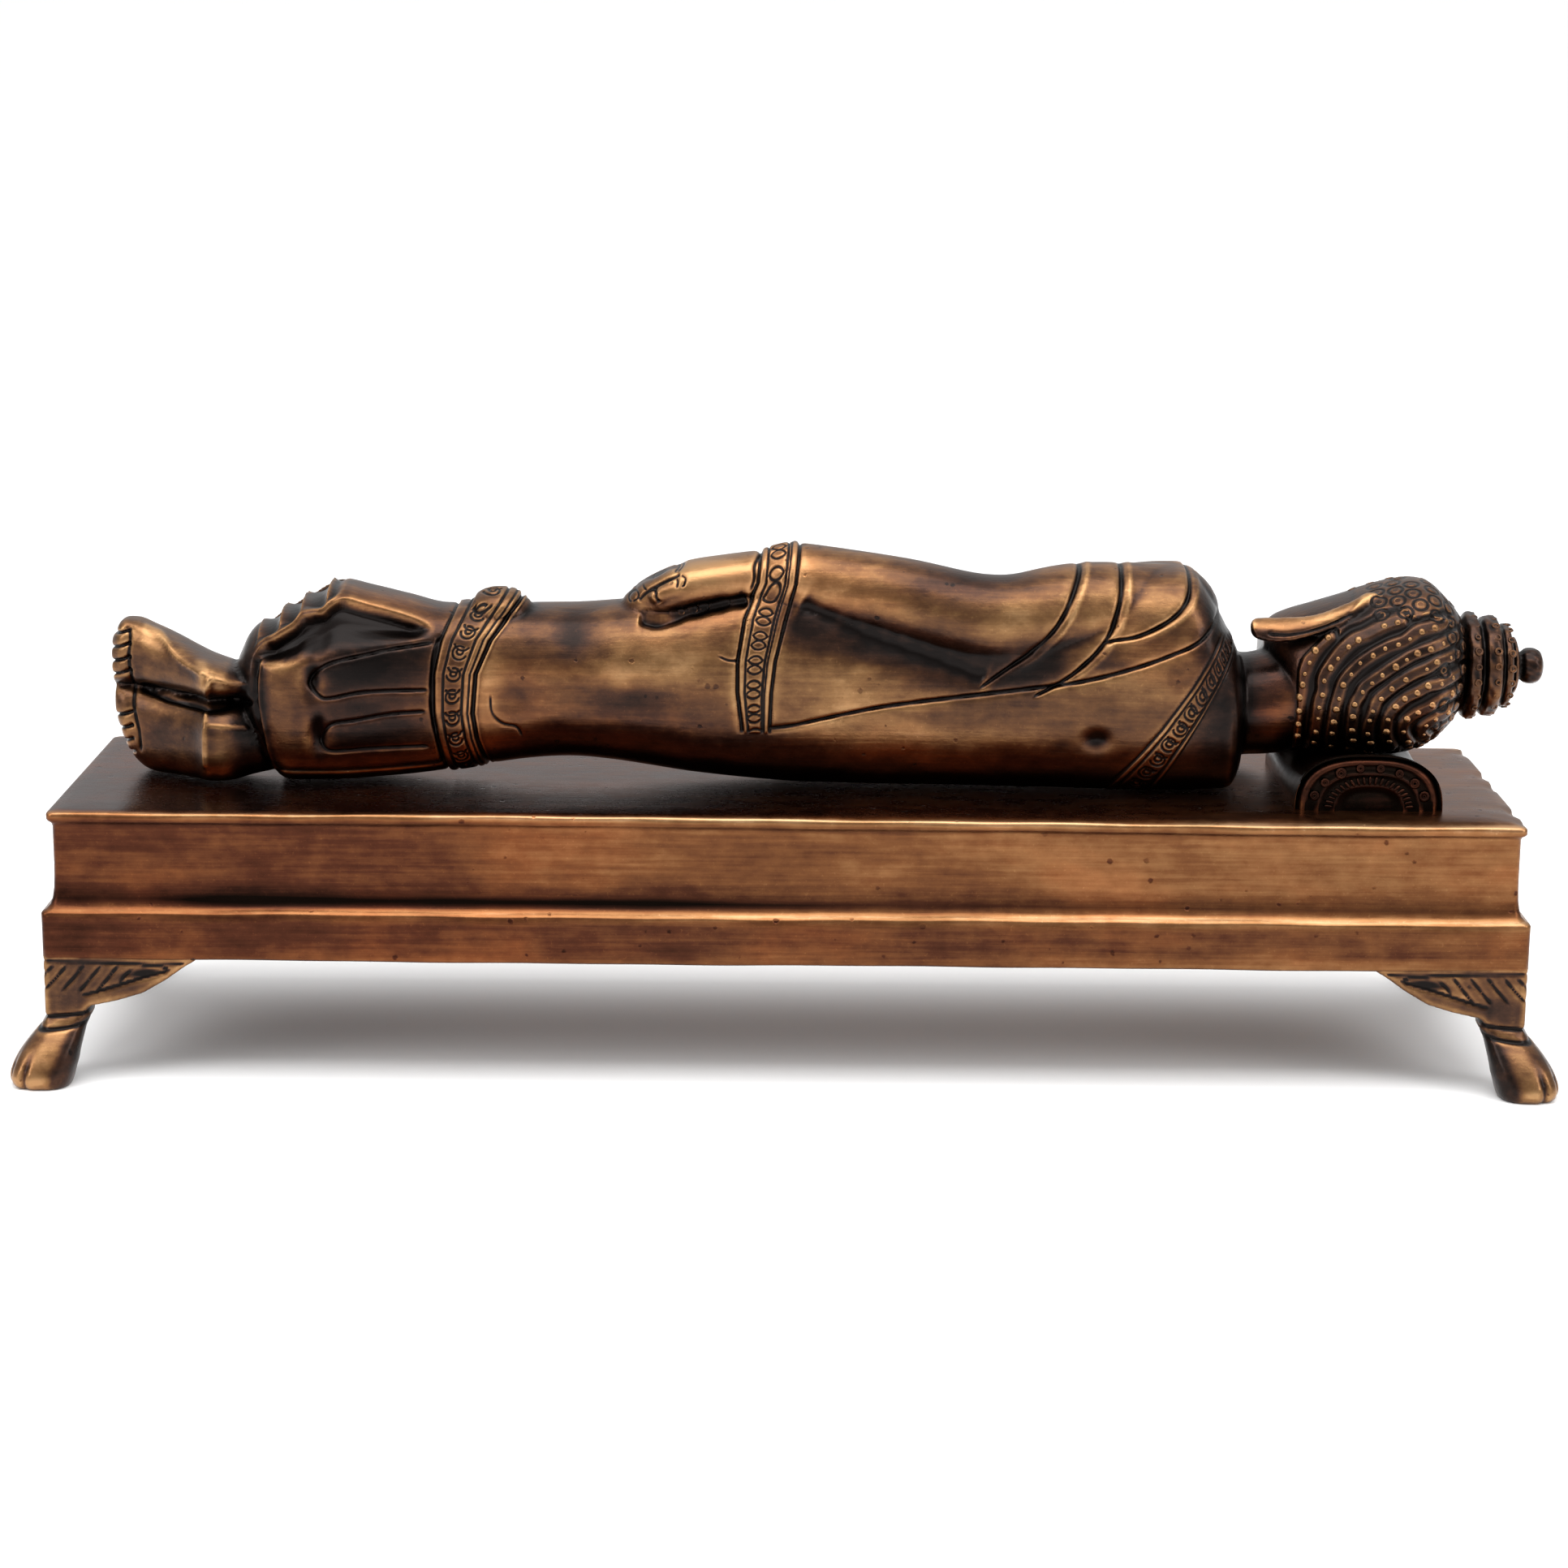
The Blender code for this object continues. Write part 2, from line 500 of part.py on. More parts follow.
def relief(points, normals):
    """How far each point of the figure moves along its normal, in grid units."""
    x, y, z = points.T
    back = ramp(-normals[:, 1], -0.1, 0.35)
    move = np.zeros(len(x))
    on_body = ramp(x, -123.0, -121.0) * (1 - ramp(x, 99.0, 101.0))
    for depth, half_width, reach, line in FOLDS:
        facing = ramp(-normals[:, 1], -reach - 0.35, -reach + 0.15)
        move -= depth * groove(distance_to_line(x, z, line), half_width) * facing * on_body
    for line in PANELS:
        move -= PANEL_DEPTH * groove(distance_to_line(x, z, line), PANEL_HALF) * back
    move += band_relief(x, z, HIP_BAND, ramp(z, 13.6, 14.4))
    move += band_relief(x, z, SHIN_BAND, np.ones(len(x)))
    move += band_relief(x, z, SHOULDER_BAND, on_body * (1 - ramp(z, 33.0, 36.0)))
    for cx, cz, half_x, half_z, depth in DIMPLES:
        move -= depth * np.exp(-(((x - cx) / half_x) ** 2) - ((z - cz) / half_z) ** 2) * back
    # The scalloped edge of the hem: flutes across the slanting lip.
    lip = ramp(x, -122.5, -120.5) * (1 - ramp(x, -101.0, -98.0)) * ramp(z - (x + 122.0) * 0.78, 21.5, 25.5)
    flutes = 0.5 - 0.5 * np.cos((x + 122.0) * 2 * math.pi / 5.6)
    move -= 0.9 * lip * flutes * ramp(normals[:, 2] - normals[:, 0], 0.2, 0.8)
    # Leg folds on the front, where the cloth hangs between the shins.
    front = ramp(normals[:, 1], 0.2, 0.6)
    for line in (((-112.0, 30.0), (-80.0, 26.0)), ((-112.0, 13.0), (-80.0, 14.0)), ((-60.0, 22.0), (-12.0, 20.0)),
                 ((14.0, 12.0), (60.0, 30.0)), ((26.0, 8.0), (70.0, 24.0)), ((4.0, 18.0), (50.0, 36.0))):
        move -= 0.8 * groove(distance_to_line(x, z, line), 1.6) * front * on_body
    # Toes: short slanting cuts along the toe edge, and the line that ends them on the sole.
    toes = 1 - ramp(x, -147.0, -144.6)
    for base in (SOLE_SPLIT - 18.6, SOLE_SPLIT):
        for i in range(1, TOE_COUNT):
            cut_z = base + i * 3.1 + 0.22 * (x + 148.0)
            move -= TOE_DEPTH * groove(np.abs(z - cut_z), 0.75) * toes
    move -= 0.5 * groove(np.abs(x + 145.3 - 0.02 * (z - 20.0)), 0.8) * ramp(-normals[:, 1] - normals[:, 0], 0.3, 0.8) * (
        1 - ramp(x, -144.0, -143.0))
    # Hair rows, and the edge where the hair meets the neck and the face.
    radius = np.hypot(x - HAIR_CENTRE[0], z - HAIR_CENTRE[1])
    hair = ramp(x, 111.8, 113.4) * (1 - ramp(x, 147.5, 149.0)) * (1 - ramp(y, 3.0, 5.0) * (1 - ramp(x, 135.0, 137.0)))
    hair *= 1 - ramp(z - (27.0 + 0.75 * (x - 112.0)), 2.0, 4.0) * (1 - ramp(x, 127.0, 129.0))
    move += HAIR_RELIEF * hair * (0.6 + 0.5 * np.cos((HAIR_FIRST - radius) * 2 * math.pi / HAIR_PITCH))
    return move


def displaced(mesh):
    points = vertex_array(mesh)
    normals = normal_array(mesh)
    points += normals * relief(points, normals).reshape(-1, 1)
    mesh.vertices.foreach_set("co", points.astype(np.float32).ravel())
    mesh.update()


def rounded_rectangle(half_x, half_y, corner, z, steps=3):
    points = []
    for sx, sy, start in ((1, 1, 0), (-1, 1, 90), (-1, -1, 180), (1, -1, 270)):
        for i in range(steps):
            angle = math.radians(start + 90.0 * i / (steps - 1))
            points.append((sx * (half_x - corner) + corner * math.cos(angle),
                           sy * (half_y - corner) + corner * math.sin(angle), z))
    return points


def couch_body():
    """A moulded slab with a waist and an apron, hollow and open below."""
    half_x = 0.5 * COUCH_LENGTH
    half_y = 0.5 * COUCH_DEPTH
    ledge = LEG_HEIGHT + APRON_HEIGHT
    waist_top = COUCH_HEIGHT - LIP_HEIGHT - WAIST_IN
    cove = waist_top - ledge
    outside = (
        (0.0, COUCH_HEIGHT),
        (0.0, COUCH_HEIGHT - 0.35 * LIP_HEIGHT),
        (-0.35 * WAIST_IN, COUCH_HEIGHT - LIP_HEIGHT),
        (-WAIST_IN, waist_top),
        (-WAIST_IN, ledge + 0.55 * cove),
        (-0.85 * WAIST_IN, ledge + 0.25 * cove),
        (-0.45 * WAIST_IN, ledge + 0.09 * cove),
        (0.1 * APRON_OUT, ledge + 0.02 * cove),
        (APRON_OUT, ledge - 0.02 * cove),
        (APRON_OUT, LEG_HEIGHT),
    )
    inside = ((APRON_OUT - SIDE_WALL, LEG_HEIGHT), (-WAIST_IN - SIDE_WALL, COUCH_HEIGHT - TOP_WALL))
    work = bmesh.new()
    rings = [rounded_rectangle(half_x + out, half_y + out, COUCH_CORNER, z) for out, z in outside]
    rings += [rounded_rectangle(half_x + out, half_y + out, COUCH_CORNER, z) for out, z in inside]
    bridge(work, rings)
    return mesh_of(work, "couch_body")


def bracket_mesh(along_y):
    """A bracket plate at the +X +Y corner, under the long side or, along_y, under the end.

    The plates, the corner block and the apron step back from each other by SKIN, so
    that no two faces of them lie in one plane.
    """
    corner = 0.5 * (COUCH_DEPTH if along_y else COUCH_LENGTH) + APRON_OUT
    outer = 0.5 * (COUCH_LENGTH if along_y else COUCH_DEPTH) + APRON_OUT - SKIN
    end = corner - 1.5 * SKIN
    top = LEG_HEIGHT + (0.34 if along_y else 0.28) * SIDE_WALL
    low = SKIN if along_y else 0.0
    drop = LEG_HEIGHT - BRACKET_DROP - low
    foot = corner - ANKLE_WIDTH
    run = BRACKET_LENGTH - ANKLE_WIDTH
    profile = [(end, top), (corner - BRACKET_LENGTH, top), (corner - BRACKET_LENGTH, LEG_HEIGHT - 2 * SKIN)]
    for share, fall in ((0.1, 0.16), (0.28, 0.44), (0.5, 0.72), (0.74, 0.88)):
        profile.append((corner - BRACKET_LENGTH + share * run, LEG_HEIGHT - fall * BRACKET_DROP - low))
    profile += [(foot, drop), (foot + 0.12 * ANKLE_WIDTH, drop - 0.18 * BRACKET_DROP),
                (foot + 0.18 * ANKLE_WIDTH, drop - 0.36 * BRACKET_DROP), (end, drop - 0.36 * BRACKET_DROP)]
    work = bmesh.new()
    rings = []
    for across in (outer - BRACKET_THICK, outer):
        rings.append([(across, u, z) if along_y else (u, across, z) for u, z in profile])
    bridge(work, rings)
    return mesh_of(work, "bracket")


def stroke_mesh(along_y):
    """The wedges that cut the leaf strokes of one bracket."""
    corner = 0.5 * (COUCH_DEPTH if along_y else COUCH_LENGTH) + APRON_OUT
    outer = 0.5 * (COUCH_LENGTH if along_y else COUCH_DEPTH) + APRON_OUT - SKIN
    work = bmesh.new()
    for i in range(STROKE_COUNT):
        at = corner - 0.35 * ANKLE_WIDTH - i * STROKE_PITCH
        length = 0.0056 - 0.0006 * i
        top = LEG_HEIGHT - 0.0030
        lean = 0.5
        ends = []
        for share in (0.0, 1.0):
            u = at - lean * length * (1 - share)
            z = top - length * share
            row = [(u - 0.5 * STROKE_WIDTH, outer + 0.001, z), (u + 0.5 * STROKE_WIDTH, outer + 0.001, z),
                   (u, outer - STROKE_DEPTH, z)]
            ends.append([(b, a, c) if along_y else (a, b, c) for a, b, c in row])
        bridge(work, ends)
    return mesh_of(work, "strokes")


def paw_mesh():
    """The corner block, ankle and paw of the +X +Y leg as one loft down to the floor."""
    corner_x = 0.5 * COUCH_LENGTH + APRON_OUT
    corner_y = 0.5 * COUCH_DEPTH + APRON_OUT
    half = 0.5 * ANKLE_WIDTH
    paw_half = 0.5 * PAW_WIDTH
    top = LEG_HEIGHT
    levels = (
        (top + 0.4 * SIDE_WALL, 0.0, half - 2 * SKIN, 5.0, 0.0),
        (top - BRACKET_DROP, 0.0, half - 2 * SKIN, 4.0, 0.0),
        (0.52 * top, 0.02 * PAW_OUT, half - 2 * SKIN, 3.2, 0.0),
        (0.44 * top, 0.20 * PAW_OUT, half, 3.0, 0.1),
        (0.35 * top, 0.48 * PAW_OUT, half + 0.34 * (paw_half - half), 2.8, 0.4),
        (0.25 * top, 0.76 * PAW_OUT, half + 0.70 * (paw_half - half), 2.6, 0.8),
        (0.15 * top, 0.92 * PAW_OUT, half + 0.90 * (paw_half - half), 2.6, 1.0),
        (0.07 * top, PAW_OUT, paw_half, 2.6, 1.0),
        (0.02 * top, 0.97 * PAW_OUT, 0.93 * paw_half, 2.6, 1.0),
        (0.0, 0.90 * PAW_OUT, 0.78 * paw_half, 2.6, 0.7),
    )
    rings = []
    for z, out, radius, squareness, toes in levels:
        # PAW_OUT is how far the paw's edge stands beyond the apron.
        centre_x = corner_x - half + (out - (radius - half)) * (1 if out > 0 else 0)
        centre_y = corner_y - half + (out - (radius - half)) * (1 if out > 0 else 0)
        ring = []
        for i in range(PAW_SIDES):
            angle = 2 * math.pi * i / PAW_SIDES
            c = math.cos(angle)
            s = math.sin(angle)
            power = 2.0 / squareness
            # Two cuts part three toes on the side that faces out of the corner.
            aim = (math.degrees(angle) - 45.0 + 180.0) % 360.0 - 180.0
            cut = 0.13 * toes * max(math.exp(-((aim - 24.0) / 7.0) ** 2), math.exp(-((aim + 24.0) / 7.0) ** 2))
            r = radius * (1 - cut)
            ring.append((centre_x + r * math.copysign(abs(c) ** power, c),
                         centre_y + r * math.copysign(abs(s) ** power, s), z))
        rings.append(ring)
    work = bmesh.new()
    bridge(work, rings)
    return mesh_of(work, "paw")


def pillow_mesh(grow=0.0, sink=0.001):
    """Half-round bolster. Its ends carry radial ribs and its middle is dished for the head."""
    half_x = 0.5 * PILLOW_WIDTH * UNIT + grow
    back = PILLOW_BACK * UNIT - grow
    length = (PILLOW_FRONT - PILLOW_BACK) * UNIT + 2 * grow
    middle = FIGURE_X + PILLOW_X * UNIT
    rings = []
    for share in (0.0, 0.02, 0.10, 0.28, 0.72, 0.90, 0.98, 1.0):
        dish = PILLOW_DISH * math.sin(math.pi * min(1.0, max(0.0, (share - 0.03) / 0.94))) ** 0.5
        end = 0.92 if share in (0.0, 1.0) else 1.0
        height = (PILLOW_HEIGHT - dish) * UNIT * end + grow
        ring = []
        for i in range(25):
            angle = math.pi * i / 24
            rib = 0.0
            if share in (0.02, 0.98) and grow == 0.0:
                rib = PILLOW_RIB_DEPTH * UNIT * (0.5 - 0.5 * math.cos(2 * PILLOW_RIBS * angle))
            x = (half_x * end - rib) * math.copysign(abs(math.cos(angle)) ** 0.75, math.cos(angle))
            z = (height - rib) * abs(math.sin(angle)) ** 0.75
            ring.append((middle + x, back + share * length, COUCH_HEIGHT + z))
        ring.append((middle - half_x * end, back + share * length, COUCH_HEIGHT - sink))
        ring.append((middle + half_x * end, back + share * length, COUCH_HEIGHT - sink))
        rings.append(ring)
    work = bmesh.new()
    bridge(work, rings)
    return mesh_of(work, "pillow")


def boolean(target, operation, other):
    step = target.modifiers.new(operation.lower(), "BOOLEAN")
    step.operation = operation
    step.solver = "EXACT"
    step.object = other


def make_couch(parts, cutters):
    couch = make_object("couch", couch_body(), parts)
    pieces = [("pillow_core", pillow_mesh(), (1, 1))]
    shapes = (("bracket_side", bracket_mesh(False)), ("bracket_end", bracket_mesh(True)), ("paw", paw_mesh()))
    for sx in (1, -1):
        for sy in (1, -1):
            pieces += [(name, mesh, (sx, sy)) for name, mesh in shapes]
    for name, mesh, sides in pieces:
        piece = make_object(name, mirrored(mesh, sides), cutters, helper=True)
        boolean(couch, "UNION", piece)
    for name, mesh in (("strokes_side", stroke_mesh(False)), ("strokes_end", stroke_mesh(True))):
        for sx in (1, -1):
            for sy in (1, -1):
                cutter = make_object(name, mirrored(mesh, (sx, sy)), cutters, helper=True)
                boolean(couch, "DIFFERENCE", cutter)
    couch.data.materials.append(bronze("couch_bronze", (0.25, 0.12, 0.05), 0.38, 0.9))
    return couch


def mirrored(mesh, sides):
    """The mesh flipped into another quarter of the couch, with its faces still outward."""
    made = mesh.copy()
    made.transform(Matrix.Diagonal((sides[0], sides[1], 1.0, 1.0)))
    if sides[0] * sides[1] < 0:
        made.flip_normals()
    return made


def rest_cutter(cutters):
    """The couch top and the pillow, grown by the gap, which shape the figure's underside."""
    deep = COUCH_HEIGHT
    work = bmesh.new()
    size = (2 * COUCH_LENGTH, 2 * COUCH_DEPTH, deep)
    place = Matrix.Translation((0.0, 0.0, COUCH_HEIGHT + REST_GAP - 0.5 * deep)) @ Matrix.Diagonal((*size, 1.0))
    bmesh.ops.create_cube(work, size=1.0, matrix=place)
    top = make_object("rest_top", mesh_of(work, "rest_top"), cutters, helper=True)
    pillow = make_object("rest_pillow", pillow_mesh(REST_GAP, 0.004), cutters, helper=True)
    return top, pillow


def make_figure(parts, cutters):
    form = make_object("figure_form", figure_form(), cutters, helper=True)
    remesh = form.modifiers.new("one_skin", "REMESH")
    remesh.mode = "VOXEL"
    remesh.voxel_size = VOXEL
    skin = evaluated_mesh(form)
    form.modifiers.remove(remesh)
    relax(skin, 8)
    displaced(skin)
    # From grid units above the couch top to metres above the floor.
    skin.transform(Matrix.Translation((FIGURE_X, 0.0, COUCH_HEIGHT)) @ Matrix.Scale(UNIT, 4))
    figure = make_object("reclining_figure", skin, parts)
    thin = figure.modifiers.new("fewer_faces", "DECIMATE")
    thin.ratio = FIGURE_FACES / (2.0 * len(skin.polygons))
    for cutter in rest_cutter(cutters):
        boolean(figure, "DIFFERENCE", cutter)
    skin.shade_smooth()
    skin.materials.append(bronze("figure_bronze", (0.34, 0.18, 0.07), 0.36, 0.95))
    return figure


def build():
    clear_scene()
    parts = make_collection("reclining_buddha")
    cutters = make_collection("cutters", helpers=True)
    make_couch(parts, cutters)
    make_figure(parts, cutters)


build()
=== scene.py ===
# %% [markdown]
# # A reclining Buddha on its couch, cast in brass
# The real piece is two castings: the sleeping figure, and the couch with its pillow and four paw feet.
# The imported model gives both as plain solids. This lesson dresses them: the same forms are cast again on a
# much finer skin, the chasing is cut into it, and the brass gets its worn, dark-waxed finish.

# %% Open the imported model
import math

import bmesh
import bpy
import numpy as np
from mathutils import Matrix, Vector


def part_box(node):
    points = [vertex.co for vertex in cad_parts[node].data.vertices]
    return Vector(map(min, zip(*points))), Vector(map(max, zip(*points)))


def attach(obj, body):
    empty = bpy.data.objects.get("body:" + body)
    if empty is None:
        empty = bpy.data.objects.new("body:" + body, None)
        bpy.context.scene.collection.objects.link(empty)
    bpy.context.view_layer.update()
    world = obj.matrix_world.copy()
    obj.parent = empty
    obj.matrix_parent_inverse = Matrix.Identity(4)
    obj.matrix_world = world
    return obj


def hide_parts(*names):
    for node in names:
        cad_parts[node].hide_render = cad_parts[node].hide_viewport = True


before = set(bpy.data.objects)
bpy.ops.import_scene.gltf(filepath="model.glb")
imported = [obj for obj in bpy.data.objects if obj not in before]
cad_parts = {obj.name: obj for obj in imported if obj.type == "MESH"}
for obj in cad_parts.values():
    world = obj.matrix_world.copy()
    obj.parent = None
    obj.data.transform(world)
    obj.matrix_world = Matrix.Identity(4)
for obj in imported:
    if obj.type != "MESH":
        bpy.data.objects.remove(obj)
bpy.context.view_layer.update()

print("nodes:", ", ".join(sorted(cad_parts)))

# %% [markdown]
# ## Sizes
# The couch is worked in metres. The figure is a free form, so it is drawn on a grid of 318 units from the
# toes to the tip of the finial, and heights are counted in the same units from the couch top. One unit
# is one millimetre at this size, and everything on the figure follows its length.

# %% Driving sizes
FIGURE_LENGTH = 0.318
GRID = 318.0
UNIT = FIGURE_LENGTH / GRID
REST_GAP = 0.0003
COUCH_LENGTH = 0.317
COUCH_DEPTH = 0.078
COUCH_HEIGHT = 0.060
LEG_HEIGHT = 0.0278
APRON_HEIGHT = 0.0104
figure_low, figure_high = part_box("reclining_figure")
couch_low, couch_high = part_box("couch")
print("figure mm:", [round(1000 * v, 1) for v in figure_high - figure_low])
print("couch mm:", [round(1000 * v, 1) for v in couch_high - couch_low])

# %% [markdown]
# ## From a list of rings to a closed body
# Most parts of a casting can be described by sections: an oval here, a slightly larger one further on. The
# helpers below resample a short table of sections so that it flows, join the rings with quads and close
# both ends. Limbs and fingers are curves with a round bevel, because a bent tube is easier to draw that way.

# %% Section helpers
def bridge(work, rings):
    made = [[work.verts.new(p) for p in ring] for ring in rings]
    count = len(made[0])
    for first, second in zip(made, made[1:]):
        for i in range(count):
            j = (i + 1) % count
            work.faces.new((first[i], first[j], second[j], second[i]))
    work.faces.new(made[0][::-1])
    work.faces.new(made[-1])


def mesh_of(work, name):
    bmesh.ops.recalc_face_normals(work, faces=work.faces)
    mesh = bpy.data.meshes.new(name)
    work.to_mesh(mesh)
    work.free()
    return mesh


def piece_of(mesh, name):
    made = bpy.data.objects.new(name, mesh)
    bpy.context.scene.collection.objects.link(made)
    return made


def finished_mesh(made):
    """The object's mesh with its modifiers applied. The object goes."""
    bpy.context.view_layer.update()
    mesh = bpy.data.meshes.new_from_object(made.evaluated_get(bpy.context.evaluated_depsgraph_get()))
    bpy.data.objects.remove(made, do_unlink=True)
    return mesh


def smooth_rows(rows, step):
    """A table of sections resampled so that each column flows and never overshoots its peaks."""
    table = np.array(sorted(rows))
    x = table[:, 0]
    new_x = np.linspace(x[0], x[-1], max(3, int((x[-1] - x[0]) / step) + 1))
    columns = [new_x]
    for column in table[:, 1:].T:
        slope = np.diff(column) / np.diff(x)
        tangent = np.concatenate([[slope[0]], 0.5 * (slope[1:] + slope[:-1]), [slope[-1]]])
        turned = np.concatenate([[False], slope[1:] * slope[:-1] <= 0, [False]])
        tangent[turned] = 0.0
        k = np.clip(np.searchsorted(x, new_x, side="right") - 1, 0, len(x) - 2)
        h = x[k + 1] - x[k]
        t = (new_x - x[k]) / h
        value = (2 * t**3 - 3 * t**2 + 1) * column[k] + (t**3 - 2 * t**2 + t) * h * tangent[k]
        value += (-2 * t**3 + 3 * t**2) * column[k + 1] + (t**3 - t**2) * h * tangent[k + 1]
        columns.append(value)
    return np.stack(columns, axis=1)


def oval(low_z, high_z, back_y, front_y, squareness, count=96):
    angle = np.linspace(0, 2 * math.pi, count, endpoint=False)
    c, s = np.cos(angle), np.sin(angle)
    y = 0.5 * (back_y + front_y) + 0.5 * (front_y - back_y) * np.sign(c) * np.abs(c) ** (2 / squareness)
    z = 0.5 * (low_z + high_z) + 0.5 * (high_z - low_z) * np.sign(s) * np.abs(s) ** (2 / squareness)
    return np.stack([y, z], axis=1)


def add_sections(work, rows, step=1.0):
    rings = []
    for x, low_z, high_z, back_y, front_y, squareness in smooth_rows(rows, step):
        rings.append([(x, y, z) for y, z in oval(low_z, high_z, back_y, front_y, squareness)])
    bridge(work, rings)


def add_ball(work, centre, radii, rows=16, count=40):
    rings = []
    for i in range(1, rows):
        tilt = math.pi * i / rows
        ring = []
        for k in range(count):
            angle = 2 * math.pi * k / count
            ring.append((centre[0] - radii[0] * math.cos(tilt),
                         centre[1] + radii[1] * math.sin(tilt) * math.cos(angle),
                         centre[2] + radii[2] * math.sin(tilt) * math.sin(angle)))
        rings.append(ring)
    bridge(work, rings)


THICK_LIMB = 6.0


def add_tube(work, points):
    """A limb: a Bezier curve through the points with a round bevel, and a ball on each end."""
    curve = bpy.data.curves.new("limb", "CURVE")
    curve.dimensions = "3D"
    curve.bevel_depth = 1.0
    curve.bevel_resolution = 10 if max(p[3] for p in points) < THICK_LIMB else 28
    curve.resolution_u = 12
    curve.use_fill_caps = True
    spline = curve.splines.new("BEZIER")
    spline.bezier_points.add(len(points) - 1)
    for knot, (x, y, z, radius) in zip(spline.bezier_points, points):
        knot.co = (x, y, z)
        knot.radius = radius
        knot.handle_left_type = knot.handle_right_type = "AUTO"
    mesh = finished_mesh(piece_of(curve, "limb"))
    work.from_mesh(mesh)
    bpy.data.meshes.remove(mesh)
    for x, y, z, radius in (points[0], points[-1]):
        add_ball(work, (x, y, z), (radius, radius, radius))


# %% [markdown]
# ## The forms of the figure
# These tables are the sculptor's armature, the same one the solids were built on: sections of the wrapped
# body, of the head and of both feet, then the arms, the hand on the hip, the neck and the long ears. The
# face is a plain canon face: the head is split in thirds from chin to hairline, and nothing of it
# copies anyone.

# %% Body, head and feet as sections: x, lowest z, highest z, back y, front y, squareness
TRUNK = (
    (-121.8, 18.0, 27.4, -8.0, 8.0, 2.2), (-119.4, 12.0, 32.2, -11.5, 10.0, 2.3),
    (-116.0, 5.0, 35.2, -14.2, 11.5, 2.4), (-112.6, 0.4, 37.6, -15.8, 12.5, 2.6),
    (-106.3, -0.3, 41.0, -16.6, 13.2, 2.8), (-99.4, -0.2, 44.2, -16.7, 13.6, 2.8),
    (-92.0, 0.4, 42.7, -16.2, 13.6, 2.8), (-84.0, 1.0, 40.8, -15.6, 13.2, 2.7),
    (-75.5, 2.2, 39.0, -15.2, 12.8, 2.6), (-66.0, 3.5, 39.5, -15.2, 12.8, 2.5),
    (-57.0, 4.8, 39.2, -15.2, 13.0, 2.4), (-48.0, 5.3, 39.3, -15.4, 13.4, 2.4),
    (-39.0, 4.6, 40.0, -15.9, 13.8, 2.4), (-30.0, 3.5, 40.9, -16.4, 14.0, 2.4),
    (-21.0, 2.1, 42.0, -16.9, 14.3, 2.5), (-12.0, 1.1, 44.4, -17.3, 14.6, 2.5),
    (-3.0, 0.4, 46.6, -17.6, 14.8, 2.5), (8.0, -0.1, 46.2, -17.4, 15.0, 2.5),
    (22.0, -0.3, 43.8, -17.2, 15.0, 2.5), (36.0, -0.5, 42.4, -17.4, 15.2, 2.5),
    (50.0, -0.7, 44.0, -18.0, 15.6, 2.5), (64.0, -0.9, 47.2, -18.9, 16.2, 2.6),
    (78.0, -1.1, 49.4, -19.6, 16.8, 2.7), (86.5, -1.1, 49.6, -19.7, 16.8, 2.7),
    (91.2, -0.8, 45.8, -19.2, 16.0, 2.7), (95.2, -0.4, 38.8, -18.2, 14.6, 2.6),
    (98.6, 0.6, 32.2, -16.4, 12.6, 2.5), (100.2, 3.6, 28.6, -13.0, 9.8, 2.3),
)
HEAD = (
    (105.4, 17.0, 34.0, -3.0, 11.0, 2.2), (107.6, 13.0, 36.8, -8.0, 14.6, 2.2),
    (111.0, 9.6, 38.7, -12.4, 16.6, 2.2), (116.0, 8.0, 40.4, -15.4, 17.6, 2.2),
    (122.0, 7.6, 42.4, -17.8, 18.2, 2.2), (129.0, 7.5, 44.8, -19.5, 18.4, 2.2),
    (134.4, 7.9, 46.3, -20.2, 17.8, 2.2), (138.2, 8.9, 46.6, -20.0, 16.4, 2.2),
    (141.6, 10.4, 45.6, -19.0, 14.6, 2.2), (144.4, 12.8, 43.0, -17.2, 12.2, 2.2),
    (147.2, 16.2, 39.8, -14.0, 9.4, 2.2), (149.6, 19.5, 35.5, -9.0, 6.0, 2.1),
)
LOWER_FOOT = (
    (-110.0, 2.0, 17.0, -9.0, 7.0, 2.3), (-119.5, 0.6, 17.6, -11.8, 6.0, 2.4),
    (-124.0, -0.4, 18.0, -14.2, 5.0, 2.6), (-127.6, -0.5, 18.2, -14.6, 5.4, 2.7),
    (-131.0, -0.5, 18.4, -11.6, 7.4, 2.7), (-136.0, -0.4, 18.9, -8.0, 9.4, 2.8),
    (-141.0, -0.2, 19.3, -5.0, 10.6, 2.9), (-145.0, 1.4, 19.6, -3.0, 10.8, 2.9),
    (-148.2, 6.0, 19.8, -2.0, 9.6, 2.9), (-150.2, 12.4, 19.8, -0.4, 7.4, 2.7),
)
UPPER_FOOT = (
    (-110.0, 18.0, 25.4, -9.0, 6.0, 2.3), (-119.5, 18.6, 25.0, -11.8, 5.0, 2.4),
    (-124.0, 18.8, 26.4, -14.2, 4.4, 2.6), (-127.6, 18.9, 27.6, -14.6, 5.0, 2.7),
    (-131.0, 19.0, 28.8, -11.6, 6.6, 2.7), (-136.0, 19.3, 31.0, -8.0, 8.2, 2.8),
    (-141.0, 19.6, 33.0, -5.0, 9.0, 2.9), (-145.4, 19.8, 34.6, -3.0, 8.8, 2.9),
    (-148.6, 19.9, 34.0, -2.2, 7.8, 2.9), (-150.6, 20.2, 30.4, -0.6, 6.2, 2.6),
)

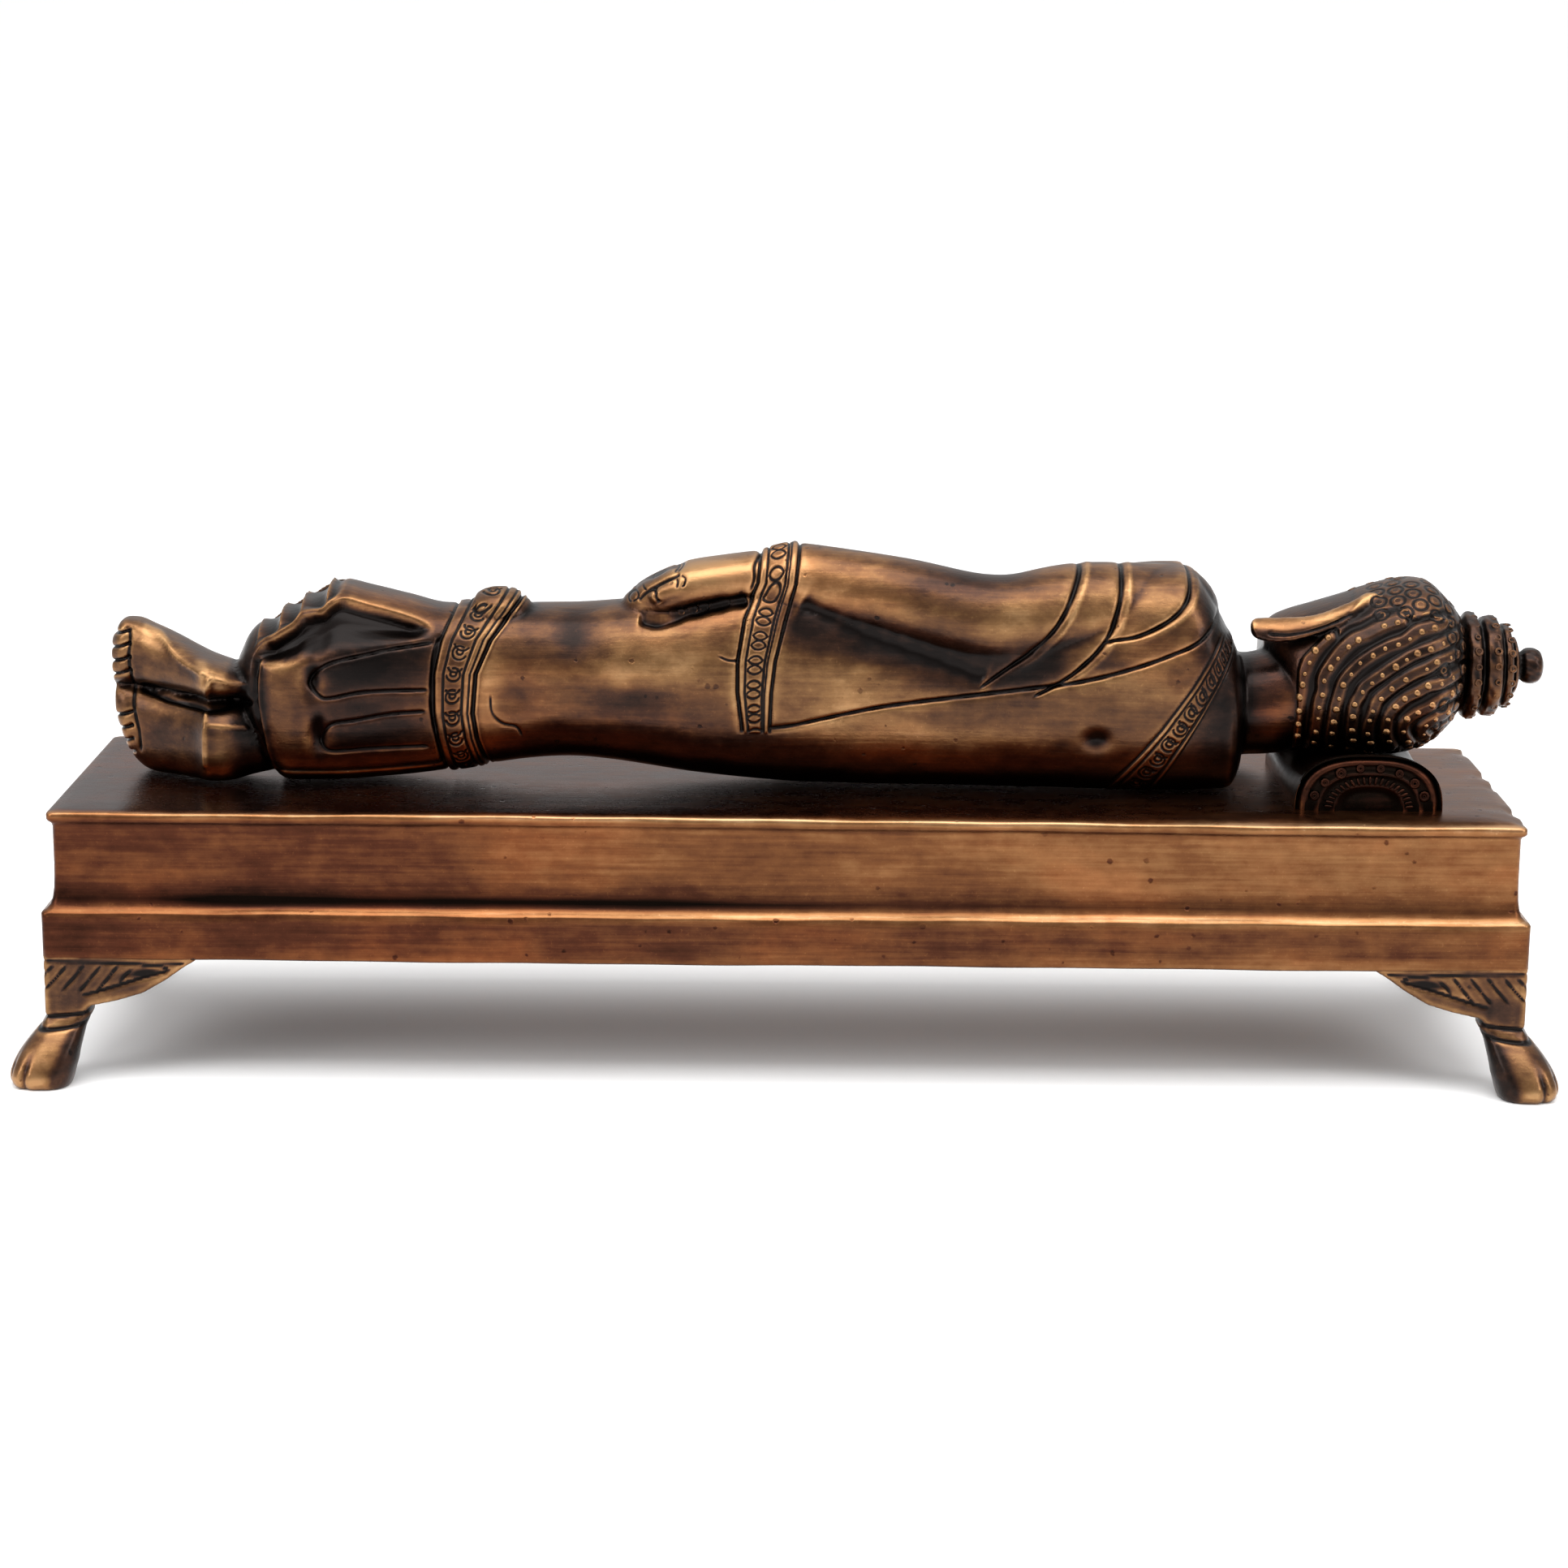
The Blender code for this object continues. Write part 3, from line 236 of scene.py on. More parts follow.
# %% Arms, hands, neck, knot and the hem's thick lip as tubes and balls: x, y, z, radius
TUBES = (
    ((84.0, -3.0, 38.6, 11.0), (64.0, -7.0, 39.2, 11.2), (46.0, -9.4, 37.8, 10.2), (22.0, -8.0, 42.4, 9.2),
     (0.0, -5.5, 45.4, 8.8), (-8.0, -4.5, 45.8, 6.0)),
    ((90.0, 4.0, 10.0, 9.6), (82.0, 18.0, 9.4, 8.4), (80.0, 26.0, 7.4, 7.0), (90.0, 26.0, 6.0, 6.2),
     (104.0, 19.5, 7.6, 5.2), (113.0, 14.5, 10.6, 4.2)),
    ((112.0, 14.0, 11.4, 4.4), (120.0, 12.0, 12.4, 5.0), (128.0, 12.0, 12.2, 3.4)),
    ((92.0, -1.0, 18.6, 12.2), (102.0, -1.0, 18.2, 11.4), (109.0, -1.0, 19.2, 11.8),
     (120.0, -1.0, 23.0, 12.6)),
)
HAND = (
    (-4.0, 40.0, 52.4, -12.2, 3.4, 2.3), (-14.0, 40.0, 51.0, -12.4, 3.6, 2.3),
    (-22.4, 38.6, 49.4, -12.2, 3.8, 2.4), (-28.0, 37.0, 47.5, -11.4, 3.8, 2.4),
    (-31.4, 36.4, 45.6, -10.0, 3.4, 2.4), (-34.4, 36.2, 43.3, -8.0, 3.0, 2.3),
    (-36.6, 36.2, 40.8, -5.6, 2.0, 2.1),
)
LITTLE_FINGER = ((-20.0, -9.6, 44.6, 2.6), (-25.0, -9.9, 43.8, 2.4), (-28.6, -10.2, 42.8, 2.0))
RIGHT_FINGERS_Z = (9.6, 11.6, 13.6, 15.4)
KNOT, KNOT_RADII = (-63.6, -3.0, 38.0), (7.2, 7.0, 4.9)

# %% The ears and the canon face
EAR = (
    (128.8, -8.0, 43.4, 0.7), (127.4, -8.6, 43.0, 1.6), (122.0, -10.2, 40.4, 2.3), (115.0, -11.4, 37.9, 2.5),
    (108.0, -10.6, 36.6, 3.2), (103.6, -9.4, 36.5, 2.9), (101.9, -9.0, 36.6, 2.2), (101.4, -8.9, 36.7, 1.2),
)
EAR_THICK, EAR_SIDES, EAR_LEAN = 1.35, 24, 0.7071
FRONT_EAR_Y, FRONT_EAR_Z = 12.0, 1.5
HEAD_MID_Z = 26.8
CHIN_X, HAIRLINE_X = 107.0, 136.0
THIRD = (HAIRLINE_X - CHIN_X) / 3
FACE = (
    # x, y, out from the middle, then the three radii: chin, lips, nose tip, wings, bridge, lids, cheeks
    (CHIN_X + 3.6, 13.2, 0.0, 4.4, 3.9, 5.2), (CHIN_X + THIRD * 0.64, 17.4, 0.0, 1.0, 1.6, 3.8),
    (CHIN_X + THIRD * 0.79, 17.6, 0.0, 0.9, 1.5, 4.4), (CHIN_X + THIRD * 1.20, 19.2, 0.0, 2.0, 2.9, 2.2),
    (CHIN_X + THIRD * 1.14, 18.4, 2.3, 1.5, 1.8, 1.5), (CHIN_X + THIRD * 1.66, 18.2, 0.0, 6.2, 2.6, 1.7),
    (CHIN_X + THIRD * 1.86, 16.4, 6.0, 2.0, 1.9, 3.7), (CHIN_X + THIRD * 1.14, 12.0, 6.2, 7.0, 3.9, 6.2),
)


def add_ear(work, mirror):
    """A long flat ear that leans back at 45 degrees; the mirrored one sits on the front side."""
    rings = []
    for x, y, z, half in smooth_rows(EAR, 0.8):
        ring = []
        for i in range(EAR_SIDES):
            angle = 2 * math.pi * i / EAR_SIDES
            across, out = half * math.cos(angle), EAR_THICK * math.sin(angle)
            p = Vector((x, y - EAR_LEAN * (across + out), z + EAR_LEAN * (out - across)))
            if mirror:
                p = Vector((p.x, p.y + FRONT_EAR_Y, 2 * HEAD_MID_Z - p.z + FRONT_EAR_Z))
            ring.append(p)
        rings.append(ring)
    bridge(work, rings)


# %% Put all the forms in one mesh
form = bmesh.new()
for rows in (TRUNK, HEAD, LOWER_FOOT, UPPER_FOOT, HAND):
    add_sections(form, rows)
for limb in TUBES + (LITTLE_FINGER,):
    add_tube(form, limb)
for i, z in enumerate(RIGHT_FINGERS_Z):
    add_tube(form, [(122.0, 13.4, z, 1.9), (132.0 - 0.8 * abs(i - 1.5), 14.6 - 0.4 * i, z, 1.5)])
for x, y, z, rx, ry, rz in FACE:
    for side in ((1,) if z == 0 else (1, -1)):
        add_ball(form, (x, y, HEAD_MID_Z + side * z), (rx, ry, rz))
add_ball(form, KNOT, KNOT_RADII)
add_ear(form, False)
add_ear(form, True)
print("forms:", len(form.faces), "faces, still overlapping")

# %% [markdown]
# ## One cast skin
# Lost-wax casting melts all the forms into one skin. A voxel Remesh does the same: it walks round the
# overlapping forms and returns one closed surface of even quads. A few rounds of smoothing take its
# steps away without shrinking it.

# %% Skin helpers
SKIN_VOXEL, SKIN_ROUNDS = 0.52, 12


def array_of(data, field, width):
    values = np.empty(len(data) * width, np.float32)
    data.foreach_get(field, values)
    return values.reshape(-1, width).astype(np.float64)


def edge_array(mesh):
    edges = np.empty(len(mesh.edges) * 2, np.int32)
    mesh.edges.foreach_get("vertices", edges)
    return edges.reshape(-1, 2)


def smoothed(points, edges, rounds, shares=(0.5, -0.52)):
    """Each point moves towards the mean of its neighbours, then a little more back, so nothing shrinks."""
    points = points.copy()
    count = np.maximum(np.bincount(edges.ravel(), minlength=len(points)), 1).reshape(-1, 1)
    for turn in range(rounds):
        total = np.empty_like(points)
        for axis in range(3):
            total[:, axis] = np.bincount(edges[:, 0], points[edges[:, 1], axis], len(points))
            total[:, axis] += np.bincount(edges[:, 1], points[edges[:, 0], axis], len(points))
        points += shares[turn % 2] * (total / count - points)
    return points


def set_points(mesh, points):
    mesh.vertices.foreach_set("co", points.astype(np.float32).ravel())
    mesh.update()


def cast_skin(work, name, voxel, rounds):
    holder = piece_of(mesh_of(work, name), name)
    remesh = holder.modifiers.new("one_skin", "REMESH")
    remesh.mode = "VOXEL"
    remesh.voxel_size = voxel
    mesh = finished_mesh(holder)
    set_points(mesh, smoothed(array_of(mesh.vertices, "co", 3), edge_array(mesh), rounds))
    return mesh


skin = cast_skin(form, "figure_form", SKIN_VOXEL, SKIN_ROUNDS)
print("skin:", len(skin.polygons), "quads")

# %% [markdown]
# ## Where the chisel goes, the skin is finer
# Engraved lines are half a millimetre wide, so the skin is split once more along them. The lines are
# drawn as seen from the back of the figure, as x and height.

# %% Lines of the drawing
SLEEVE_FOLDS = (
    ((64.4, 56.0), (63.7, 51.3), (60.9, 43.4), (57.5, 37.1), (53.1, 32.5), (47.9, 28.8), (41.7, 24.2)),
    ((72.9, 56.5), (72.7, 52.0), (72.0, 43.5), (69.9, 37.2), (66.5, 32.1), (60.4, 26.6), (53.4, 22.5)),
    ((87.9, 54.0), (87.8, 50.0), (86.9, 44.6), (83.2, 40.1), (76.2, 36.4), (70.4, 35.2), (68.4, 34.6)),
)
SLEEVE_DEPTH, SLEEVE_HALF, SLEEVE_SWELL, SLEEVE_OVER = 1.10, 0.80, 0.4, 0.1
FOLDS = (
    # depth, half width, how far it reaches over the top, points
    (0.95, 0.70, 0.0, ((-4.0, 14.7), (1.7, 15.5), (14.0, 18.4), (22.8, 20.1), (40.5, 22.6), (58.1, 25.1),
                       (66.9, 26.8), (75.6, 29.4), (82.6, 32.0), (89.5, 35.3), (94.5, 40.5))),
    (0.90, 3.40, 0.0, ((2.3, 42.1), (12.0, 37.7), (22.7, 33.4), (33.4, 29.9), (43.2, 26.3))),
    (1.60, 1.70, 0.1, ((-33.0, 37.6), (-28.0, 37.2), (-22.1, 39.2), (-15.5, 41.0), (-8.6, 42.4))),
    (0.80, 0.90, 0.0, ((-75.9, 34.2), (-77.2, 31.0), (-78.0, 23.6), (-77.9, 17.1), (-76.6, 9.7),
                       (-75.8, 4.1))),
    (1.20, 1.10, 0.0, ((-144.7, 19.6), (-138.0, 17.7), (-132.5, 17.2), (-125.7, 16.9), (-117.8, 18.4))),
    (1.20, 1.30, 0.0, ((-116.4, 29.0), (-117.0, 20.0), (-115.8, 10.0), (-114.2, 2.0))),
    (0.40, 0.40, 0.0, ((-65.2, 21.4), (-64.8, 17.2), (-62.6, 14.8), (-59.6, 14.0), (-58.2, 11.6))),
    (0.50, 0.45, 0.0, ((-15.6, 30.8), (-13.2, 29.8), (-10.4, 29.6))),
    (0.70, 0.60, 0.1, ((-5.9, 52.8), (-7.0, 51.3), (-7.6, 49.7), (-7.6, 47.0), (-8.4, 44.0))),
    (0.55, 0.60, 0.0, ((-147.0, 33.6), (-146.0, 31.4), (-146.4, 26.7), (-146.1, 22.8), (-145.6, 18.9),
                       (-145.7, 16.1), (-145.2, 12.8), (-144.5, 9.4), (-144.3, 5.0))),
)
PANELS = (
    ((-77.4, 32.6), (-86.8, 31.2), (-92.0, 30.1), (-99.3, 28.4), (-103.0, 26.2), (-104.6, 23.6),
     (-102.5, 20.9),
     (-100.0, 20.4), (-92.1, 21.8), (-78.6, 22.2)),
    ((-79.2, 17.4), (-87.0, 16.8), (-94.8, 15.4), (-99.6, 14.6), (-101.7, 12.4), (-102.3, 9.8), (-100.2, 8.2),
     (-92.4, 8.8), (-78.8, 9.3)),
    ((-112.6, 3.2), (-98.0, 3.0), (-86.0, 3.9), (-76.0, 4.9)),
)
ARM_CREASE = ((0.0, 38.5), (12.0, 35.5), (23.0, 32.4), (34.0, 29.4), (45.0, 27.6), (56.0, 29.0))
PANEL_DEPTH, PANEL_HALF = 0.8, 0.58
RIDGES = (
    (0.90, 0.9, ((-126.1, 25.2), (-127.3, 21.0), (-127.8, 18.2))),
    (0.90, 0.9, ((-127.8, 17.0), (-127.9, 10.7), (-128.1, 3.4))),
    (0.70, 1.0, ((-143.3, 34.6), (-139.0, 31.9), (-134.0, 27.4), (-127.0, 24.6))),
    (0.50, 0.9, ((-127.2, 24.4), (-122.0, 23.0), (-118.4, 22.4))),
    (0.50, 0.9, ((-127.9, 13.6), (-122.0, 13.0), (-118.4, 12.4))),
    (0.60, 0.7, ((-115.3, 29.0), (-115.8, 20.0), (-114.4, 10.0), (-112.8, 2.4))),
)
HIP_BAND = ((56.0, -5.8, 2.5), (46.2, -6.6, 1.4), (38.6, -9.5, -0.7), (29.6, -10.9, -2.9),
            (22.7, -10.9, -3.7),
            (14.6, -9.9, -4.0))
SHIN_BAND = ((43.0, -71.2, -56.5), (33.0, -75.8, -64.4), (25.8, -77.3, -67.6), (17.0, -77.4, -68.4),
             (11.3, -76.8, -67.6), (3.0, -75.0, -65.2))
SHOULDER_BAND = ((40.0, 96.4, 102.6), (33.5, 93.1, 98.4), (25.0, 88.0, 93.8), (15.4, 81.4, 88.6),
                 (1.1, 70.3, 80.8))
DENTS = (
    (-60.2, 20.6, 4.8, 4.4, 0.9), (-47.0, 34.0, 4.4, 6.0, 0.8), (-36.0, 21.0, 10.0, 4.0, 0.6),
    (67.5, 13.0, 2.6, 2.2, 1.1), (-37.0, 26.0, 4.0, 9.0, -0.5), (-104.0, 24.4, 1.8, 3.6, 1.5),
    (-102.8, 11.8, 1.7, 4.0, 1.5), (18.0, 33.0, 6.0, 3.0, 0.5),
)
HEM_EDGE = ((-117.6, 29.6), (-114.9, 32.0), (-112.8, 33.1), (-110.2, 34.7), (-108.1, 36.1), (-106.5, 38.0),
            (-104.4, 38.7),
            (-101.8, 39.2), (-99.7, 41.0), (-97.0, 42.0), (-91.9, 40.6), (-85.1, 38.6), (-76.3, 35.6))
HOLLOW_FOOT = ((-117.0, -110.0, -104.0, -98.0, -90.0, -80.0), (27.0, 26.6, 27.6, 29.4, 31.2, 33.0))
HAIR_BORDER = ((128.6, 40.4), (131.0, 41.2), (134.0, 41.5), (136.5, 40.2), (139.0, 41.2), (142.0, 39.8),
               (145.0, 38.6))
HAIR_ROWS = (
    ((112.2, 11.0), (111.9, 15.5), (112.0, 20.7), (112.3, 23.6), (112.6, 26.5), (113.8, 30.3), (115.5, 33.2),
     (117.9, 35.7)),
    ((116.3, 10.0), (116.0, 15.0), (116.1, 21.2), (116.7, 24.1), (116.8, 27.0), (118.3, 29.9), (120.4, 32.8),
     (123.1, 35.3), (125.9, 36.6), (129.6, 38.6), (133.0, 39.9)),
    ((120.0, 10.0), (119.3, 14.5), (119.4, 19.6), (119.9, 22.7), (120.7, 25.8), (121.9, 27.9), (124.2, 30.4),
     (126.9, 32.5), (130.4, 34.5), (133.6, 35.8), (136.6, 37.9), (140.3, 38.7), (142.3, 39.2)),
    ((124.4, 11.0), (123.4, 15.5), (123.4, 20.9), (124.5, 23.8), (125.6, 25.8), (128.7, 28.3), (131.8, 30.6),
     (135.4, 32.9), (139.0, 34.2), (141.7, 35.1), (145.0, 36.0)),
    ((128.4, 10.5), (127.0, 13.5), (126.8, 16.7), (127.5, 19.6), (128.2, 22.6), (130.5, 25.1), (132.4, 26.7),
     (135.6, 28.8), (138.6, 30.1), (140.7, 31.3), (145.0, 32.4)),
    ((132.6, 11.0), (130.9, 14.5), (130.8, 18.8), (132.1, 21.3), (134.2, 23.4), (136.6, 24.7), (139.0, 26.0),
     (141.4, 26.4), (143.4, 27.2), (147.0, 28.4)),
    ((136.5, 12.0), (134.6, 14.6), (134.4, 17.4), (136.4, 19.7), (139.6, 21.4), (142.8, 23.1), (146.6, 24.6)),
    ((140.0, 13.6), (138.4, 15.6), (140.4, 17.8), (143.4, 19.2), (146.0, 20.6)),
)
SOLE_SPLIT, TOE_COUNT, TOE_PITCH = 19.7, 5, 3.1


# %% Measuring against a line
def ramp(value, low, high):
    t = np.clip((value - low) / (high - low), 0.0, 1.0)
    return t * t * (3 - 2 * t)


def drawn(points, steps=5):
    """The line through the points as a smooth curve of short straight bits."""
    p = np.array(points, float)
    p = np.vstack([2 * p[0] - p[1], p, 2 * p[-1] - p[-2]])
    t = np.linspace(0, 1, steps, endpoint=False).reshape(-1, 1)
    bits = []
    for a, b, c, d in zip(p, p[1:], p[2:], p[3:]):
        curve = 2 * b + (c - a) * t + (2 * a - 5 * b + 4 * c - d) * t**2 + (3 * b - 3 * c + d - a) * t**3
        bits.append(0.5 * curve)
    return np.vstack(bits + [p[-2:-1]])


def near_line(x, z, points, reach):
    """For the points within reach: their index, distance, side, and the run along the line and its length."""
    line = drawn(points)
    low, high = line.min(axis=0) - reach, line.max(axis=0) + reach
    near = np.nonzero((x > low[0]) & (x < high[0]) & (z > low[1]) & (z < high[1]))[0]
    px, pz = x[near], z[near]
    best, side, run = np.full(len(near), 1e9), np.zeros(len(near)), np.zeros(len(near))
    done = 0.0
    for (ax, az), (bx, bz) in zip(line, line[1:]):
        dx, dz = bx - ax, bz - az
        length = math.hypot(dx, dz) + 1e-9
        t = np.clip(((px - ax) * dx + (pz - az) * dz) / length**2, 0.0, 1.0)
        d = np.hypot(px - ax - t * dx, pz - az - t * dz)
        closer = d < best
        best = np.where(closer, d, best)
        side = np.where(closer, np.sign(dx * (pz - az) - dz * (px - ax)), side)
        run = np.where(closer, done + t * length, run)
        done += length
    return near, best, side, run, done


def band_place(x, z, band):
    """Where a point lies across a band, 0 at its left edge and 1 at its right, and the band's width there."""
    heights, first, second = np.array(sorted(band)).T
    left, right = np.interp(z, heights, first), np.interp(z, heights, second)
    return (x - left) / (right - left), right - left


# %% Split the skin where it is carved
LINE_REACH = 1.8


def fine_zone(points):
    x, y, z = points.T
    zone = np.zeros(len(x), bool)
    for band in (HIP_BAND, SHIN_BAND, SHOULDER_BAND):
        across, _ = band_place(x, z, band)
        zone |= (across > -0.15) & (across < 1.15)
    for line in SLEEVE_FOLDS + PANELS + tuple(fold[3] for fold in FOLDS if fold[1] < 2.0):
        near, distance, _, _, _ = near_line(x, z, line, 2.0)
        zone[near[(distance < LINE_REACH) & (y[near] < 0)]] = True
    zone |= (x < -143.0)
    zone |= (x > -38.0) & (x < -7.0) & (z > 36.0)
    zone |= (x > 106.0) & (x < 140.0) & (y > 7.0) & (z > 12.5)
    zone |= (x > 100.0) & (x < 131.0) & (z > 33.0) & (y < -4.0)
    zone |= (x > -123.0) & (x < -96.0) & (z > 24.0 + 0.60 * (x + 122.0)) & (y < 0.0)
    zone |= (x > 110.0) & (x < 149.0) & (y < -4.0) & (z > 9.0)
    return zone


def split_in_zone(mesh, zone_of, rounds=3):
    inside = zone_of(array_of(mesh.vertices, "co", 3))
    work = bmesh.new()
    work.from_mesh(mesh)
    work.verts.ensure_lookup_table()
    edges = [e for e in work.edges if inside[e.verts[0].index] and inside[e.verts[1].index]]
    bmesh.ops.subdivide_edges(work, edges=edges, cuts=1, use_grid_fill=True)
    work.to_mesh(mesh)
    work.free()
    set_points(mesh, smoothed(array_of(mesh.vertices, "co", 3), edge_array(mesh), rounds))


# The crease beside the arm is softened, and so is the face, its cheeks most of all.
CREASE_REACH = 5.0
skin_points, skin_edges = array_of(skin.vertices, "co", 3), edge_array(skin)
gentle = smoothed(skin_points, skin_edges, 14, (0.5, 0.5))
softer = smoothed(gentle, skin_edges, 50, (0.5, 0.5))
soft = smoothed(softer, skin_edges, 90, (0.5, 0.5))
crease, reach, _, _, _ = near_line(skin_points[:, 0], skin_points[:, 2], ARM_CREASE, 9.0)
melt = np.zeros((len(skin_points), 1))
melt[crease, 0] = np.exp(-((reach / CREASE_REACH) ** 2)) * ramp(-skin_points[crease, 1], 2.0, 7.0)
skin_normals = array_of(skin.vertex_normals, "vector", 3)
lift = ((soft - skin_points) * skin_normals).sum(axis=1).reshape(-1, 1)
melted = smoothed(skin_points + melt * lift * skin_normals, skin_edges, 8)
face = ramp(skin_points[:, 1], 8.0, 11.0) * ramp(skin_points[:, 0], 104.0, 107.0)
face *= 1 - ramp(skin_points[:, 0], 131.0, 134.0)
face *= ramp(skin_points[:, 2], 14.5, 16.5)
cheek = ramp(np.abs(skin_points[:, 2] - HEAD_MID_Z), 5.0, 8.0) * (1 - ramp(skin_points[:, 0], 120.0, 123.5))
relaxed = gentle + cheek.reshape(-1, 1) * (softer - gentle)
set_points(skin, melted + face.reshape(-1, 1) * (relaxed - melted))
split_in_zone(skin, fine_zone)
print("skin with carved zones:", len(skin.polygons), "faces")

# %% [markdown]
# ## Chasing
# After casting, the maker cuts folds, borders and nails with gravers and punches. Here a Carving keeps two
# numbers for each point of the skin: how far it moves along its normal, and how much dark wax stays in it.
# Each tool adds to both, so a cut is always as dark as it is deep.

# %% The carving tools
class Carving:
    def __init__(self, mesh):
        self.points = array_of(mesh.vertices, "co", 3)
        self.normals = array_of(mesh.vertex_normals, "vector", 3)
        self.x, self.y, self.z = self.points.T
        self.back = ramp(-self.normals[:, 1], -0.1, 0.35)
        self.front = ramp(self.normals[:, 1], -0.1, 0.35)
        self.move = np.zeros(len(self.x))
        self.wax = np.zeros(len(self.x))

    def add(self, where, depth, shape, wax=1.0):
        self.move[where] -= depth * shape
        self.wax[where] = np.maximum(self.wax[where], wax * shape**1.4)

    def line(self, points, depth, half, facing, taper=1.5, wax=1.0, u=None, v=None, swell=0.0):
        """A V cut with soft shoulders, thin at both ends. With swell it starts wide and ends narrow."""
        u, v = (self.x if u is None else u), (self.z if v is None else v)
        near, d, _, run, length = near_line(u, v, points, 2.6 * half)
        half = half * (1 + swell * (1 - 2 * run / length))
        ends = ramp(run, -0.2 * taper, taper) * (1 - ramp(run, length - taper, length + 0.2 * taper))
        cut = 0.72 * np.exp(-((d / (0.55 * half)) ** 2)) + 0.28 * np.exp(-((d / (1.3 * half)) ** 2))
        hand = 0.84 + 0.16 * np.sin(0.9 * run + points[0][0]) * np.sin(0.37 * run + points[0][1])
        self.add(near, depth, cut * ends * facing[near] * hand, wax * np.minimum(1.0, 0.9 / half))

    def dent(self, x, z, half_x, half_z, depth, facing, wax=0.30):
        shape = np.exp(-(((self.x - x) / half_x) ** 2) - ((self.z - z) / half_z) ** 2) * facing
        self.move -= depth * shape
        self.wax = np.maximum(self.wax, wax * max(0.0, depth) * shape)


work = Carving(skin)
on_body = ramp(work.x, -124.0, -122.0) * (1 - ramp(work.x, 99.5, 101.0))


def over_top(reach):
    """1 where the skin faces the back, fading out as it turns over the top; a larger reach goes further."""
    return ramp(-work.normals[:, 1], -reach - 0.35, -reach + 0.15)


for line in SLEEVE_FOLDS:
    work.line(line, SLEEVE_DEPTH, SLEEVE_HALF, over_top(SLEEVE_OVER), swell=SLEEVE_SWELL)
    beside = [(x + 1.7, z - 0.5) for x, z in line[:-1]]
    work.line(beside, -0.28, 1.1, over_top(SLEEVE_OVER), taper=4.0, wax=0.0)
for depth, half, reach, line in FOLDS:
    work.line(line, depth, half, over_top(reach))
for line in PANELS:
    work.line(line, PANEL_DEPTH, PANEL_HALF, work.back)
for height, half, line in RIDGES:
    work.line(line, -height, half, work.back, wax=0.0)
for cx, cz, half_x, half_z, depth in DENTS:
    work.dent(cx, cz, half_x, half_z, depth, work.back)
print("deepest cut so far:", round(-work.move.min(), 2), "mm")

# %% [markdown]
# ## Borders that run round the body
# Three bands carry rows of punched arcs. A punch row has to keep its pitch while the cloth turns over the
# body, so each band gets a coordinate along its own girth, measured on the section it lies on.

# %% Girth along a band
body_rows = smooth_rows(TRUNK, 1.0)


def body_section(x):
    """The body's section at x: its middle, its half sizes and its squareness."""
    low_z, high_z, back_y, front_y, squareness = (np.interp(x, body_rows[:, 0], c) for c in body_rows[:,
                                                                                                      1:].T)
    middle = 0.5 * (back_y + front_y), 0.5 * (low_z + high_z)
    return (*middle, 0.5 * (front_y - back_y), 0.5 * (high_z - low_z), squareness)


def girth(x, y, z, band):
    """The run round the body from the middle of the back, up is positive."""
    heights, first, second = np.array(sorted(band)).T
    turn = np.linspace(-math.pi, math.pi, 721)
    line_x = np.full(len(turn), 0.5 * (first + second).mean())
    for _ in range(3):
        mid_y, mid_z, half_y, half_z, square = body_section(line_x)
        c, s = np.cos(turn), np.sin(turn)
        line_y = mid_y - half_y * np.sign(c) * np.abs(c) ** (2 / square)
        line_z = mid_z + half_z * np.sign(s) * np.abs(s) ** (2 / square)
        line_x = np.interp(line_z, heights, 0.5 * (first + second))
    steps = np.sqrt(np.diff(line_x) ** 2 + np.diff(line_y) ** 2 + np.diff(line_z) ** 2)
    run = np.concatenate([[0.0], np.cumsum(steps)])
    run -= run[len(run) // 2]
    at = np.arctan2(line_z - mid_z, -(line_y - mid_y))
    mid_y, mid_z = body_section(x)[:2]
    return np.interp(np.arctan2(z - mid_z, -(y - mid_y)), at, run)


# %% Bands: raised cloth, lines and punched arcs
def arc(w, v, centre, radius, start, sweep, width=0.24):
    """A punched arc at v = centre on the band's middle line; angles in degrees from the band's right."""
    dv = v - centre
    angle = np.degrees(np.arctan2(dv, w))
    off = (angle - start) % 360.0
    inside = ramp(np.minimum(off, sweep - off), -14.0, 6.0) if sweep < 360 else 1.0
    return np.exp(-((np.hypot(w, dv) - radius) / width) ** 2) * np.where(off <= sweep + 14.0, inside, 0.0)


PUNCH_DEPTH, PUNCH_WAX = 0.34, 0.9


